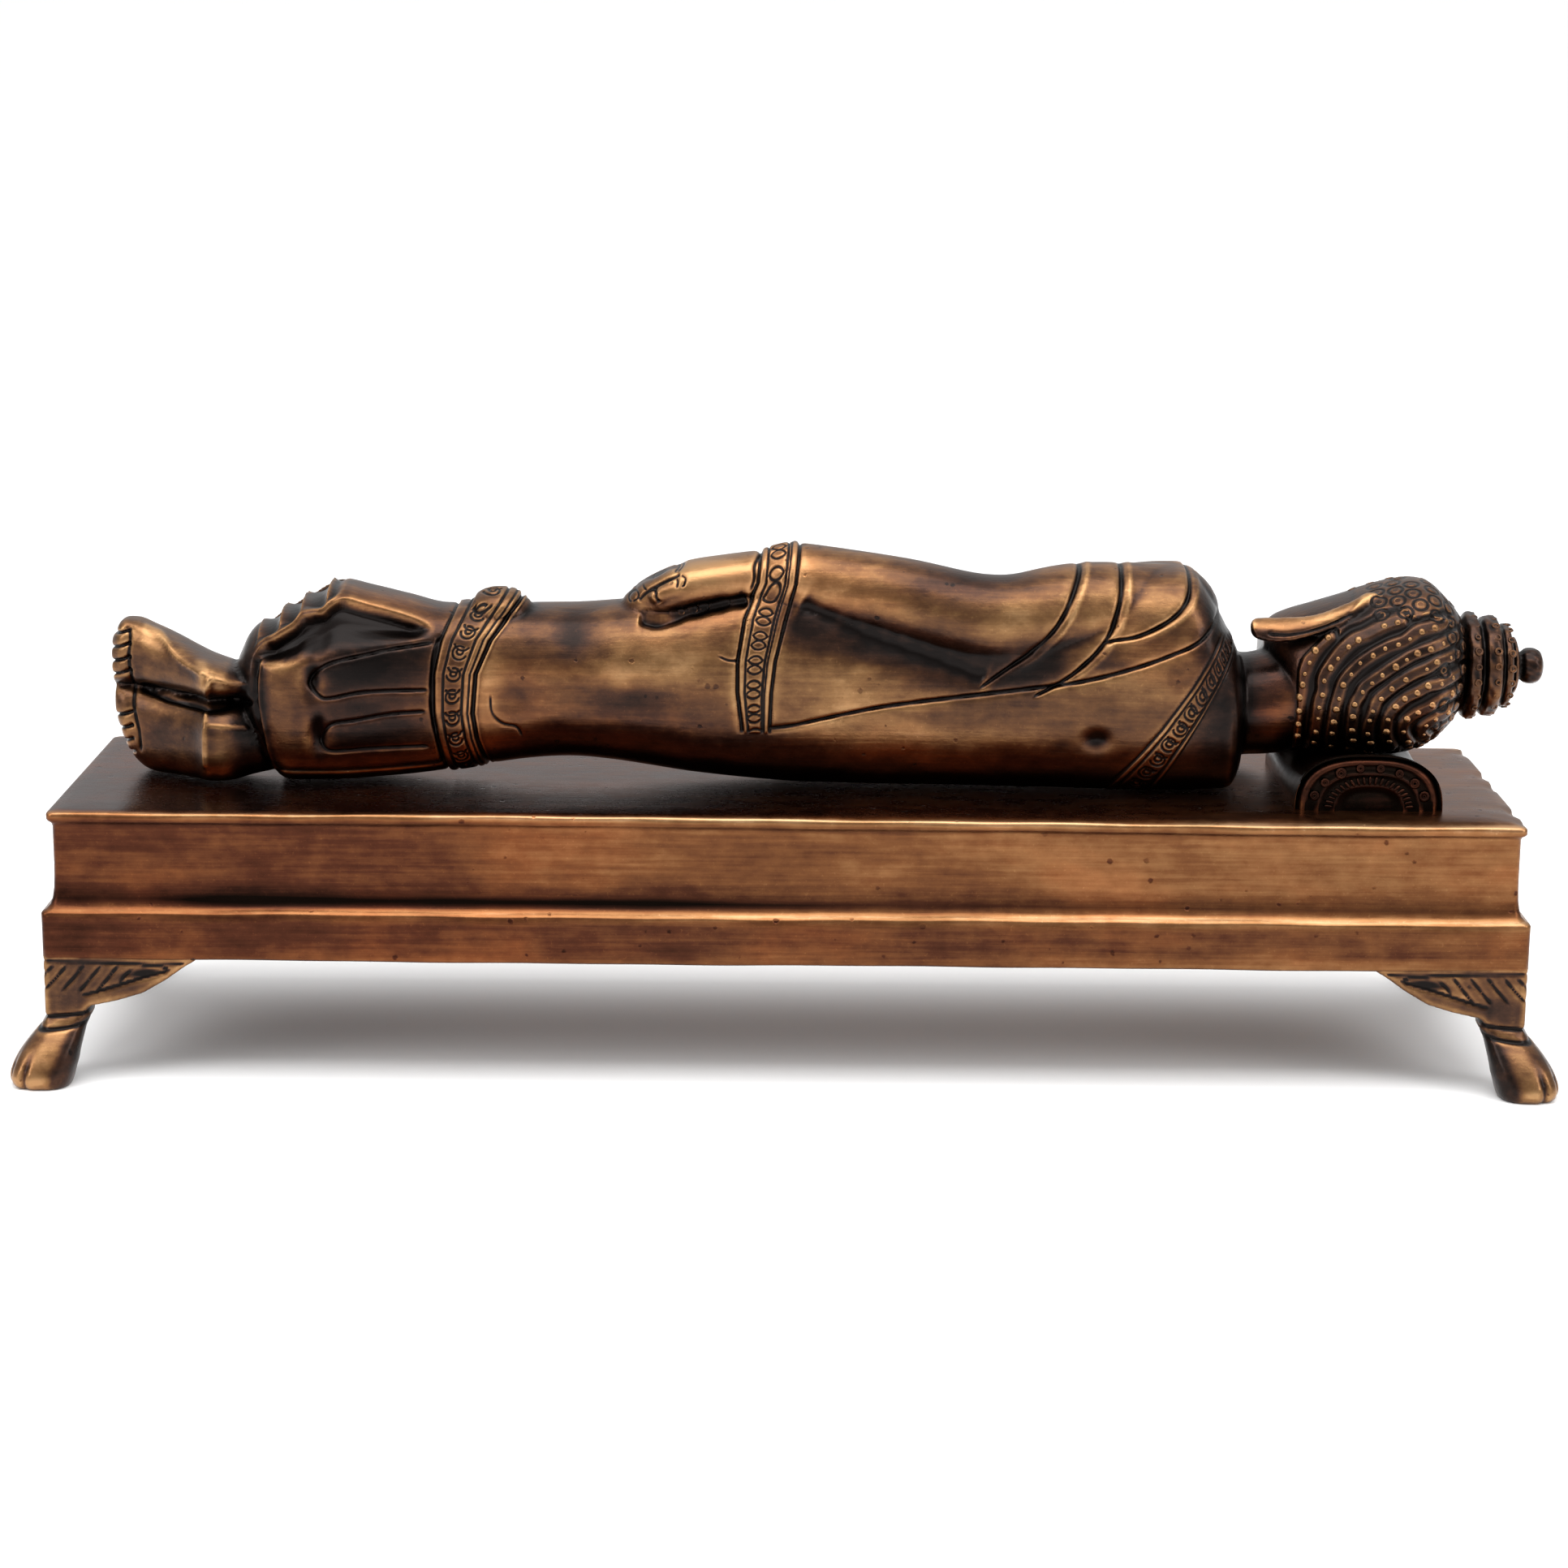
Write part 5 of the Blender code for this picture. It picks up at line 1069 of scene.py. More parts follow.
def antique_brass(name, patina, cloud_share, brush_share, gloss, grain, coat):
    """gloss is the roughness of plain ground, grain the height of its mottling in metres."""
    made = bpy.data.materials.new(name)
    made.use_nodes = True
    tree = made.node_tree
    tree.nodes.clear()
    start = Wire(tree, None)
    place = start.node("ShaderNodeTexCoord", {}, {}, 3)

    def attribute(label):
        return start.node("ShaderNodeAttribute", {"attribute_name": label}, {}, 2)

    def noise(scale, detail, stretch=(1.0, 1.0, 1.0)):
        spot = start.node("ShaderNodeMapping", {}, {"Vector": place, "Scale": stretch})
        return start.node("ShaderNodeTexNoise", {},
                          {"Vector": spot, "Scale": scale, "Detail": detail, "Roughness": 0.6})

    wax, rub_and_highlight, tone, warm = attribute("wax"), attribute("rub_and_highlight"), attribute("tone"), attribute("warm")
    clouds = noise(48.0, 5.0, (0.5, 1.0, 1.0))
    mottle = noise(260.0, 5.0, (0.7, 1.0, 1.0))
    flecks = noise(1500.0, 2.0)
    brush = noise(900.0, 3.0, (0.035, 1.0, 1.0))
    cells = start.node("ShaderNodeTexVoronoi", {}, {"Vector": place, "Scale": 230.0})
    pits = (1 - (cells + mottle * 0.6).between(0.33, 0.42)) * clouds.between(0.44, 0.56)
    shade = tone + (clouds - 0.5) * cloud_share + (mottle - 0.5) * (0.6 * cloud_share) + (rub_and_highlight - 0.5) * 0.8
    shade = shade + (brush - 0.5) * brush_share + flecks.between(0.60, 0.75) * 0.08
    shade = shade - (wax + (mottle - 0.5) * 0.25).between(0.12, 0.95) * 0.85 - pits * 0.22
    colour = shade.node("ShaderNodeValToRGB", {"stops": patina}, {"Fac": shade})
    red = clouds.between(0.45, 0.75) * 0.3 + warm * 0.5
    colour = red.mix(colour, colour.node("ShaderNodeMix", {"data_type": "RGBA", "blend_type": "MULTIPLY"},
                                         {0: 1.0, 6: colour, 7: COPPERY}, 2))
    rough = gloss + (mottle - 0.5) * 0.20 + wax * 0.15 - warm * 0.08
    height = (mottle - 0.5) * grain + (flecks - 0.5) * FLECK_DEPTH - pits * PIT_DEPTH
    height = height + (brush - 0.5) * (grain * brush_share * 2.0)
    bump = height.node("ShaderNodeBump", {}, {"Height": height, "Distance": 1.0, "Strength": 0.8})
    shader = start.node("ShaderNodeBsdfPrincipled", {},
                        {"Base Color": colour, "Roughness": rough, "Metallic": 1.0, "Normal": bump,
                         "Coat Weight": coat, "Coat Roughness": 0.22})
    out = tree.nodes.new("ShaderNodeOutputMaterial")
    tree.links.new(shader.socket, out.inputs["Surface"])
    return made


figure_brass = antique_brass("figure_brass", FIGURE_PATINA, 0.85, 0.24, 0.35, 0.00014, 0.15)
couch_brass = antique_brass("couch_brass", COUCH_PATINA, 0.62, 0.36, 0.33, 0.00004, 0.0)
leg_brass = antique_brass("leg_brass", FIGURE_PATINA, 1.05, 0.10, 0.33, 0.00014, 0.15)
for piece in figure_pieces:
    piece.data.materials.append(figure_brass)

# %% [markdown]
# ## Beads and rings
# The struck beads and rings repeat a few hundred times, so one Geometry Nodes tree sets a bead or a ring
# on every point of a list. The points carry the direction they face and their size, a random value with
# a fixed seed makes no two alike, and Realize Instances makes real mesh of them.

# %% A tree that sets studs on points
def stud_tree(name, ring):
    tree = bpy.data.node_groups.new(name, "GeometryNodeTree")
    for label, kind, way in (
            ("Geometry", "Geometry", "INPUT"), ("Stud Size", "Float", "INPUT"),
            ("Unevenness", "Float", "INPUT"),
            ("Seed", "Int", "INPUT"), ("Material", "Material", "INPUT"), ("Geometry", "Geometry", "OUTPUT")):
        tree.interface.new_socket(label, in_out=way, socket_type="NodeSocket" + kind)

    def add(kind, settings=(), **values):
        made = tree.nodes.new(kind)
        for key, value in dict(settings).items():
            setattr(made, key, value)
        for key, value in values.items():
            socket = made.inputs[key.replace("_", " ")]
            if isinstance(value, bpy.types.NodeSocket):
                tree.links.new(value, socket)
            else:
                socket.default_value = value
        return made

    given = add("NodeGroupInput").outputs
    if ring:
        path = add("GeometryNodeCurvePrimitiveCircle", Resolution=10, Radius=0.72).outputs[0]
        profile = add("GeometryNodeCurvePrimitiveCircle", Resolution=5, Radius=0.34).outputs[0]
        stud = add("GeometryNodeCurveToMesh", Curve=path, Profile_Curve=profile).outputs[0]
    else:
        stud = add("GeometryNodeMeshUVSphere", Segments=9, Rings=6, Radius=1.0).outputs[0]
    facing = add("GeometryNodeInputNamedAttribute", {"data_type": "FLOAT_VECTOR"}, Name="facing").outputs[0]
    along = add("GeometryNodeInputNamedAttribute", {"data_type": "FLOAT_VECTOR"}, Name="along").outputs[0]
    shape = add("GeometryNodeInputNamedAttribute", {"data_type": "FLOAT_VECTOR"}, Name="shape").outputs[0]
    turn = add("FunctionNodeAlignRotationToVector", {"axis": "Z"}, Vector=facing).outputs[0]
    turn = add("FunctionNodeAlignRotationToVector", {"axis": "X", "pivot_axis": "Z"},
               Rotation=turn, Vector=along).outputs[0]
    low = add("ShaderNodeMath", {"operation": "SUBTRACT"})
    low.inputs[0].default_value = 1.0
    tree.links.new(given["Unevenness"], low.inputs[1])
    chance = add("FunctionNodeRandomValue", {"data_type": "FLOAT"}, Seed=given["Seed"])
    floats = [s for s in chance.inputs if s.type == "VALUE"]
    tree.links.new(low.outputs[0], floats[0])
    floats[1].default_value = 1.0
    value = next(s for s in chance.outputs if s.type == "VALUE" and s.enabled)
    sized = add("ShaderNodeMath", {"operation": "MULTIPLY"})
    tree.links.new(value, sized.inputs[0])
    tree.links.new(given["Stud Size"], sized.inputs[1])
    scale = add("ShaderNodeVectorMath", {"operation": "SCALE"})
    tree.links.new(shape, scale.inputs[0])
    tree.links.new(sized.outputs[0], scale.inputs["Scale"])
    laid = add("GeometryNodeInstanceOnPoints", Points=given["Geometry"], Instance=stud, Rotation=turn,
               Scale=scale.outputs[0]).outputs[0]
    real = add("GeometryNodeRealizeInstances", Geometry=laid).outputs[0]
    smooth = add("GeometryNodeSetShadeSmooth", Geometry=real).outputs[0]
    shown = add("GeometryNodeSetMaterial", Geometry=smooth, Material=given["Material"]).outputs[0]
    tree.links.new(shown, add("NodeGroupOutput").inputs[0])
    return tree


bead_tree, ring_tree = stud_tree("set_beads", False), stud_tree("set_rings", True)


def set_studs(name, tree, spots, size, material, seed, uneven=0.25, wear=(0.95, 0.85)):
    """spots: place, facing, along, shape for each stud, in metres."""
    mesh = bpy.data.meshes.new(name)
    mesh.from_pydata([spot[0] for spot in spots], [], [])
    for label, column in (("facing", 1), ("along", 2), ("shape", 3)):
        store(mesh, label, np.array([spot[column] for spot in spots]), "FLOAT_VECTOR")
    holder = piece_of(mesh, name)
    studs = holder.modifiers.new("studs", "NODES")
    studs.node_group = tree
    ids = {item.name: item.identifier for item in tree.interface.items_tree if item.in_out == "INPUT"}
    studs[ids["Stud Size"]] = size
    studs[ids["Unevenness"]] = uneven
    studs[ids["Seed"]] = seed
    studs[ids["Material"]] = material
    made = finished_mesh(holder)
    for attribute in [a for a in made.attributes if a.name in ("facing", "along", "shape")]:
        made.attributes.remove(attribute)
    count = len(made.vertices)
    store(made, "rub_and_highlight", np.full(count, wear[0]))
    store(made, "tone", np.full(count, wear[1]))
    store(made, "wax", np.zeros(count))
    print(name, len(spots), "studs,", sum(len(p.vertices) - 2 for p in made.polygons), "triangles")
    return piece_of(made, name)


hair_beads = set_studs("hair_beads", bead_tree, bead_spots, 0.98 * UNIT, figure_brass, 3, 0.45, (0.8, 0.62))
hair_curls = set_studs("hair_curls", ring_tree, ring_spots, 1.20 * UNIT, figure_brass, 5, 0.2, (0.7, 0.45))

# %% [markdown]
# ## The topknot
# The flame-like knob on the crown is turned: a stack of rings and a ball. A turned shape is a profile swept
# round an axis, so the profile is written as x and radius, and its rings get punched studs.

# %% Turn the topknot
TOPKNOT_Y, TOPKNOT_Z = -2.0, 27.4
TOPKNOT = (
    (144.0, 8.0), (148.0, 9.6), (148.9, 10.2), (149.3, 11.1), (149.8, 11.6), (151.3, 11.7), (151.9, 11.2),
    (152.3, 10.0), (152.9, 9.7), (153.3, 10.4), (153.9, 11.0), (156.0, 10.9), (156.7, 10.2), (157.1, 8.9),
    (157.5, 8.7), (158.0, 9.2), (159.0, 9.0), (159.5, 8.0), (159.7, 6.2), (160.0, 6.1), (160.5, 6.4),
    (161.1, 5.8), (161.5, 4.2), (161.8, 3.0), (162.3, 3.1), (163.2, 3.75), (164.4, 4.0), (165.7, 3.8),
    (166.8, 2.9), (167.3, 1.6),
)
turned = bmesh.new()
SIDES = 96
rings = []
for tx, tr in smooth_rows(TOPKNOT, 0.25):
    ring = []
    for i in range(SIDES):
        angle = 2 * math.pi * i / SIDES
        broad_wave = 0.012 * math.cos(3 * angle + 1.0)
        r = tr * (1 + broad_wave + 0.012 * math.cos(9 * angle + tx) + 0.006 * math.cos(17 * angle - 2 * tx))
        ring.append((tx, TOPKNOT_Y + r * math.cos(angle), TOPKNOT_Z + r * math.sin(angle)))
    rings.append(ring)
bridge(turned, rings)
topknot_mesh = mesh_of(turned, "topknot")
topknot_mesh.shade_smooth()


def dress(mesh, tone, scale=(6.0, 1.6)):
    """Wear and tone for a mesh in grid units: the same two scales as on the figure."""
    p = array_of(mesh.vertices, "co", 3)
    thin, wide = standing_proud(mesh, p, 20)
    store(mesh, "rub_and_highlight", np.clip(0.5 + scale[0] * thin + scale[1] * wide, 0, 1))
    store(mesh, "tone", np.full(len(p), tone))
    store(mesh, "wax", np.clip((-wide) * 1.6, 0, 1))
    set_points(mesh, p * UNIT + ON_COUCH)


dress(topknot_mesh, 0.10)
topknot = piece_of(topknot_mesh, "topknot")
topknot.data.materials.append(figure_brass)
knot_spots = []
for ring_x, ring_r, count, phase in ((150.5, 11.65, 21, 0.0), (155.0, 11.0, 20, 0.5), (158.5, 9.15, 17, 0.2)):
    for i in range(count):
        angle = 2 * math.pi * (i + phase) / count
        facing = Vector((0.05, math.cos(angle), math.sin(angle))).normalized()
        spot = Vector((ring_x, TOPKNOT_Y, TOPKNOT_Z)) + facing * (ring_r + 0.02)
        knot_spots.append((in_metres(spot), facing, (1, 0, 0), (1.0, 1.0, 0.8)))
topknot_studs = set_studs("topknot_studs", ring_tree, knot_spots, 1.0 * UNIT, figure_brass, 7, 0.3,
                          (0.7, 0.40))

# %% [markdown]
# ## The pillow
# A half-round bolster with carved ends: a rim, a row of scrolls, an arch of short ribs and a smooth middle.
# Its body is lofted along y, and each end is closed by the same outline stepping inwards in levels.

# %% Loft the pillow and its carved ends
PILLOW_SIDES, PILLOW_ROWS, RIBS, SCROLLS_AROUND = 72, 60, 21, 8
END_STEPS = (
    # share of the outline, how far in from the pillow's end
    (1.0, 3.4), (0.99, 2.2), (0.965, 1.2), (0.93, 0.5), (0.89, 0.1), (0.86, 0.1), (0.84, 0.4), (0.72, 0.3),
    (0.70, -0.05), (0.67, -0.1), (0.65, 0.25), (0.50, 0.2), (0.48, -0.1), (0.45, -0.1), (0.43, 0.3),
    (0.30, 0.3), (0.12, 0.2),
)


def pillow_ring(y, share, height, half):
    """The half-round outline at y, with its two feet just under the couch top."""
    ring = []
    for i in range(PILLOW_SIDES + 1):
        angle = math.pi * i / PILLOW_SIDES
        px = half * math.copysign(abs(math.cos(angle)) ** 0.75, math.cos(angle))
        pz = height * abs(math.sin(angle)) ** 0.75
        ring.append((PILLOW_X + share * px, y, share * pz))
    ring.append((PILLOW_X - share * half, y, -1.0))
    ring.append((PILLOW_X + share * half, y, -1.0))
    return ring


pillow = bmesh.new()
rings = []
length = PILLOW_FRONT - PILLOW_BACK
half_width = 0.5 * PILLOW_WIDTH
for share, inset in reversed(END_STEPS):
    rings.append(pillow_ring(PILLOW_BACK + 0.6 + inset, share * 0.985, PILLOW_HEIGHT, half_width))
for k in range(1, PILLOW_ROWS):
    share = k / PILLOW_ROWS
    dish = PILLOW_DISH * math.sin(math.pi * min(1.0, max(0.0, (share - 0.02) / 0.96))) ** 0.8
    rings.append(pillow_ring(PILLOW_BACK + share * length, 1.0, PILLOW_HEIGHT - dish, half_width))
for share, inset in END_STEPS:
    rings.append(pillow_ring(PILLOW_FRONT - 0.6 - inset, share * 0.985, PILLOW_HEIGHT, half_width))
bridge(pillow, rings)
pillow_mesh = mesh_of(pillow, "pillow")
pillow_mesh.shade_smooth()
dress(pillow_mesh, 0.08, scale=(0.8, 0.2))
pillow_piece = piece_of(pillow_mesh, "pillow")
pillow_piece.data.materials.append(couch_brass)

# %% Ribs and scrolls on the pillow's ends
def round_the_arch(count, share):
    """Even places round the half-round end, at a share of its size, with the way out from its middle."""
    for i in range(1, count + 1):
        angle = math.pi * i / (count + 1)
        radial = Vector((half_width * math.cos(angle), 0, PILLOW_HEIGHT * math.sin(angle)))
        yield share * radial, radial.normalized()


rib_spots, scroll_spots = [], []
for y, out in ((PILLOW_BACK + 0.55, -1.0), (PILLOW_FRONT - 0.55, 1.0)):
    middle = Vector((PILLOW_X, y, 0))
    for offset, radial in round_the_arch(RIBS, 0.555):
        rib_spots.append((in_metres(middle + offset), (0, out, 0), radial, (1.7, 0.6, 0.6)))
    for offset, radial in round_the_arch(SCROLLS_AROUND, 0.79):
        for size in (1.25, 0.6):
            scroll_spots.append((in_metres(middle + offset), (0, out, 0), radial, (size, size, 0.6)))
pillow_ribs = set_studs("pillow_ribs", bead_tree, rib_spots, 0.62 * UNIT, couch_brass, 11, 0.2, (0.6, 0.10))
pillow_scrolls = set_studs("pillow_scrolls", ring_tree, scroll_spots, 1.05 * UNIT, couch_brass, 13, 0.3,
                           (0.6, 0.08))

# %% [markdown]
# ## The couch
# A long hollow slab: a thin lip, a tall plain frieze, a ledge and an apron. It was filed by hand, so its
# long edges wander by a few tenths of a millimetre. A loft of outlines keeps the moulding exact, and a slow
# wave moves each point a little.

# %% Loft the slab
COUCH_CORNER, APRON_OUT, WAIST_IN, LIP_HEIGHT = 0.0016, 0.0015, 0.0011, 0.0024
SIDE_WALL, TOP_WALL = 0.004, 0.005
WANDER, LIP_SAG, CHIP_DEEP, CHIP_DOWN = 0.00022, 0.0007, 0.0009, 0.0006


def slab_outline(grow, z, step=0.0024, arc_steps=5):
    """The couch's outline with round corners, grown outwards and laid at a height."""
    half_x, half_y = 0.5 * COUCH_LENGTH + grow, 0.5 * COUCH_DEPTH + grow
    corner = COUCH_CORNER
    ring = []
    for sx, sy, start, run_axis, run in ((1, 1, 0, 0, -1), (-1, 1, 90, 1, -1), (-1, -1, 180, 0, 1),
                                         (1, -1, 270, 1, 1)):
        for i in range(arc_steps):
            angle = math.radians(start + 90.0 * i / (arc_steps - 1))
            ring.append((sx * (half_x - corner) + corner * math.cos(angle),
                         sy * (half_y - corner) + corner * math.sin(angle)))
        span = 2 * ((half_x, half_y)[run_axis] - corner)
        count = int((COUCH_LENGTH, COUCH_DEPTH)[run_axis] / step)
        ax, ay = ring[-1]
        for i in range(1, count):
            move = run * span * i / count
            ring.append((ax + move, ay) if run_axis == 0 else (ax, ay + move))
    return [(px, py, z) for px, py in ring]


def wander(px, seed):
    """A slow uneven wave along the couch, between -1 and 1."""
    slow = 0.5 * math.sin(px * 41.0 + seed) + 0.3 * math.sin(px * 97.0 + 2.1 * seed)
    return slow + 0.2 * math.sin(px * 211.0 + 3.3 * seed)


ledge = LEG_HEIGHT + APRON_HEIGHT
waist_top = COUCH_HEIGHT - LIP_HEIGHT - WAIST_IN
cove = waist_top - ledge
SLAB = (
    # how far out from the couch's edge, height, how much of the wander it takes
    (-0.0100, COUCH_HEIGHT - 0.0001, 0.0), (-0.0030, COUCH_HEIGHT, 0.2), (-0.0007, COUCH_HEIGHT, 1.0),
    (-0.0002, COUCH_HEIGHT - 0.0002, 1.0), (0.0, COUCH_HEIGHT - 0.0006, 1.0),
    (0.0, COUCH_HEIGHT - 0.0016, 1.0), (-0.0003, COUCH_HEIGHT - 0.0022, 0.8),
    (-0.0009, COUCH_HEIGHT - 0.0028, 0.6), (-WAIST_IN, waist_top, 0.5), (-WAIST_IN, ledge + 0.80 * cove, 0.4),
    (-WAIST_IN, ledge + 0.55 * cove, 0.4), (-0.95 * WAIST_IN, ledge + 0.38 * cove, 0.4),
    (-0.85 * WAIST_IN, ledge + 0.25 * cove, 0.4), (-0.60 * WAIST_IN, ledge + 0.14 * cove, 0.5),
    (-0.25 * WAIST_IN, ledge + 0.07 * cove, 0.7), (0.35 * APRON_OUT, ledge + 0.025 * cove, 1.0),
    (0.85 * APRON_OUT, ledge + 0.004 * cove, 1.0), (APRON_OUT, ledge - 0.02 * cove, 0.8),
    (APRON_OUT, ledge - 0.25 * APRON_HEIGHT, 0.4), (APRON_OUT, LEG_HEIGHT + 0.25 * APRON_HEIGHT, 0.4),
    (APRON_OUT, LEG_HEIGHT + 0.0005, 0.8), (APRON_OUT - 0.0004, LEG_HEIGHT, 0.8),
    (APRON_OUT - SIDE_WALL, LEG_HEIGHT, 0.0), (-WAIST_IN - SIDE_WALL, COUCH_HEIGHT - TOP_WALL, 0.0),
)
slab = bmesh.new()
rings = []
for row, (grow, z, loose) in enumerate(SLAB):
    ring = []
    for px, py, pz in slab_outline(grow, z):
        inward = WANDER * loose * (wander(px, 1.0 + 0.35 * row) - 1.0) if abs(py) > 0.03 else 0.0
        drop = WANDER * loose * (wander(px, 4.0 + 0.1 * row) - 1.0)
        if pz > COUCH_HEIGHT - 0.004 and py < 0:
            drop -= LIP_SAG * math.exp(-((px - 0.110) / 0.055) ** 2) * loose
        if px > 0.155 and pz > COUCH_HEIGHT - 0.002:
            chip = max(0.0, abs(math.sin(97.0 * py + 1.0) * math.sin(271.0 * py + 2.0)) - 0.35)
            px, drop = px - CHIP_DEEP * chip * loose, drop - CHIP_DOWN * chip * loose
        ring.append((px, py + math.copysign(inward, py), pz + drop))
    rings.append(ring)
bridge(slab, rings)
slab_mesh = mesh_of(slab, "couch_slab")
print("slab:", len(slab_mesh.polygons), "faces")

# %% Tone of the slab: rubbed arrises with a painted highlight, painted highlights on the ledge and the apron's foot, dark towards the toe end
slab_points = array_of(slab_mesh.vertices, "co", 3)
slab_x, slab_y, slab_z = slab_points.T
long_side = np.abs(slab_y) > 0.5 * COUCH_DEPTH - 0.002
# The arris band is rubbed wear with a painted highlight; the ledge and apron-foot bands are painted
# highlights.
arris_wear_and_highlight = np.exp(-((slab_z - COUCH_HEIGHT + 0.0005) / 0.0007) ** 2) * long_side
ledge_highlight = np.exp(-((slab_z - ledge) / 0.0009) ** 2)
apron_foot_highlight = np.exp(-((slab_z - LEG_HEIGHT) / 0.0008) ** 2)
on_top = ramp(slab_z, COUCH_HEIGHT - 0.0003, COUCH_HEIGHT) * (np.abs(slab_y) < 0.5 * COUCH_DEPTH - 0.001)
slab_tone = 0.47 + 0.14 * ramp(slab_x, -0.12, 0.01)
slab_tone -= 0.17 * (slab_z < ledge) * (0.5 + 0.5 * ramp(-np.abs(slab_x), -0.12, -0.02))
slab_tone -= 0.16 * np.exp(-((slab_z - ledge - 0.003) / 0.0025) ** 2)
slab_tone -= 0.11 * on_top * (1 - ramp(slab_x, 0.05, 0.14))
slab_tone += 0.05 * (1 - on_top) * (slab_z > ledge) * ramp(slab_x, 0.0, 0.1)
slab_warm = 1.0 * on_top * (1 - 0.5 * ramp(slab_x, 0.06, 0.15))
slab_warm += 0.3 * (1 - on_top) * (1 - ramp(slab_x, -0.10, 0.0))
# The stored rub values carry the painted highlights of the ledge and the apron's foot besides the wear of the
# arrises.
store(slab_mesh, "rub_and_highlight", np.clip(0.5 + 0.5 * arris_wear_and_highlight + 0.42 * ledge_highlight + 0.2 * apron_foot_highlight, 0, 1))
store(slab_mesh, "tone", np.clip(slab_tone, 0, 1))
store(slab_mesh, "warm", np.clip(slab_warm, 0, 1))
toe_cove = ramp(slab_x, -0.145, -0.12) * (1 - ramp(slab_x, -0.03, 0.03))
cove_wax = (0.25 + 0.4 * toe_cove) * np.exp(-((slab_z - ledge - 0.0022) / 0.0012) ** 2)
store(slab_mesh, "wax", np.clip(cove_wax, 0, 1))
slab_mesh.shade_smooth()
couch_slab = piece_of(slab_mesh, "couch_slab")
couch_slab.data.materials.append(couch_brass)

# %% [markdown]
# ## The paw legs
# Each corner has two leaf-shaped brackets that meet in an ankle and end in a paw with three toes. One corner
# is built from plates and a loft, cast into one skin like the figure, carved, and then mirrored to the others.

# %% Build one corner of the couch in millimetres from the corner
BRACKET_LENGTH, BRACKET_THICK, BRACKET_DROP = 33.0, 5.0, 10.8
ANKLE_WIDTH, PAW_OUT, PAW_WIDTH, PAW_SIDES, TOE_AIM = 9.8, 7.4, 14.0, 96, 22.0
LEG_VOXEL, LEG_ROUNDS = 0.5, 5
LEG = LEG_HEIGHT * 1000
CORNER_X, CORNER_Y = 500 * COUCH_LENGTH + 1.5, 500 * COUCH_DEPTH + 1.5
leg = bmesh.new()
for along_y in (False, True):
    corner = CORNER_Y if along_y else CORNER_X
    outer = (CORNER_X if along_y else CORNER_Y) - 0.15
    run = BRACKET_LENGTH - ANKLE_WIDTH
    profile = [(corner - 0.3, LEG + 1.2), (corner - BRACKET_LENGTH, LEG + 1.2),
               (corner - BRACKET_LENGTH, LEG - 0.4)]
    for share, fall in ((0.1, 0.16), (0.28, 0.44), (0.5, 0.72), (0.74, 0.88)):
        profile.append((corner - BRACKET_LENGTH + share * run, LEG - fall * BRACKET_DROP))
    foot = corner - ANKLE_WIDTH
    profile += [(foot, LEG - BRACKET_DROP), (foot + 0.12 * ANKLE_WIDTH, LEG - 1.18 * BRACKET_DROP),
                (foot + 0.18 * ANKLE_WIDTH, LEG - 1.36 * BRACKET_DROP),
                (corner - 0.3, LEG - 1.36 * BRACKET_DROP)]
    sides = []
    for across in (outer - BRACKET_THICK, outer):
        sides.append([(across, u, v) if along_y else (u, across, v) for u, v in profile])
    bridge(leg, sides)
half, paw_half = 0.5 * ANKLE_WIDTH, 0.5 * PAW_WIDTH
PAW_LEVELS = (
    # height as a share of the leg, how far out, how wide, squareness, how deep the toes are parted
    (-0.02, 0.66, 0.44, 2.5, 0.4), (0.0, 0.84, 0.62, 2.5, 0.7), (0.03, 0.95, 0.82, 2.5, 1.0),
    (0.08, 1.0, 0.95, 2.5, 1.0), (0.16, 0.93, 0.96, 2.5, 0.9), (0.25, 0.77, 0.84, 2.6, 0.3),
    (0.35, 0.50, 0.60, 2.8, 0.0), (0.44, 0.21, 0.34, 3.0, 0.0), (0.52, 0.02, 0.30, 3.2, 0.0),
    (0.62, 0.0, 0.30, 4.0, 0.0), (1.04, 0.0, 0.30, 5.0, 0.0),
)
rings = []
for share, out, wide, square, toes in smooth_rows(PAW_LEVELS, 0.02):
    radius_here = half + (paw_half - half) * max(0.0, (wide - 0.30) / 0.70)
    shift = (out * PAW_OUT - (radius_here - half)) * (1 if out > 0.005 else 0)
    ring = []
    for i in range(PAW_SIDES):
        angle = 2 * math.pi * i / PAW_SIDES
        c, s = math.cos(angle), math.sin(angle)
        aim = (math.degrees(angle) - 45.0 + 180.0) % 360.0 - 180.0
        cut = 0.14 * toes * max(math.exp(-((aim - TOE_AIM) / 4.5) ** 2),
                                math.exp(-((aim + TOE_AIM) / 4.5) ** 2))
        r = radius_here * (1 - cut)
        ring.append((CORNER_X - half + shift + r * math.copysign(abs(c) ** (2 / square), c),
                     CORNER_Y - half + shift + r * math.copysign(abs(s) ** (2 / square), s),
                     max(0.0, share * LEG)))
    rings.append(ring)
bridge(leg, rings[1:])
leg_skin = cast_skin(leg, "leg_form", LEG_VOXEL, LEG_ROUNDS)
print("one leg:", len(leg_skin.polygons), "quads")

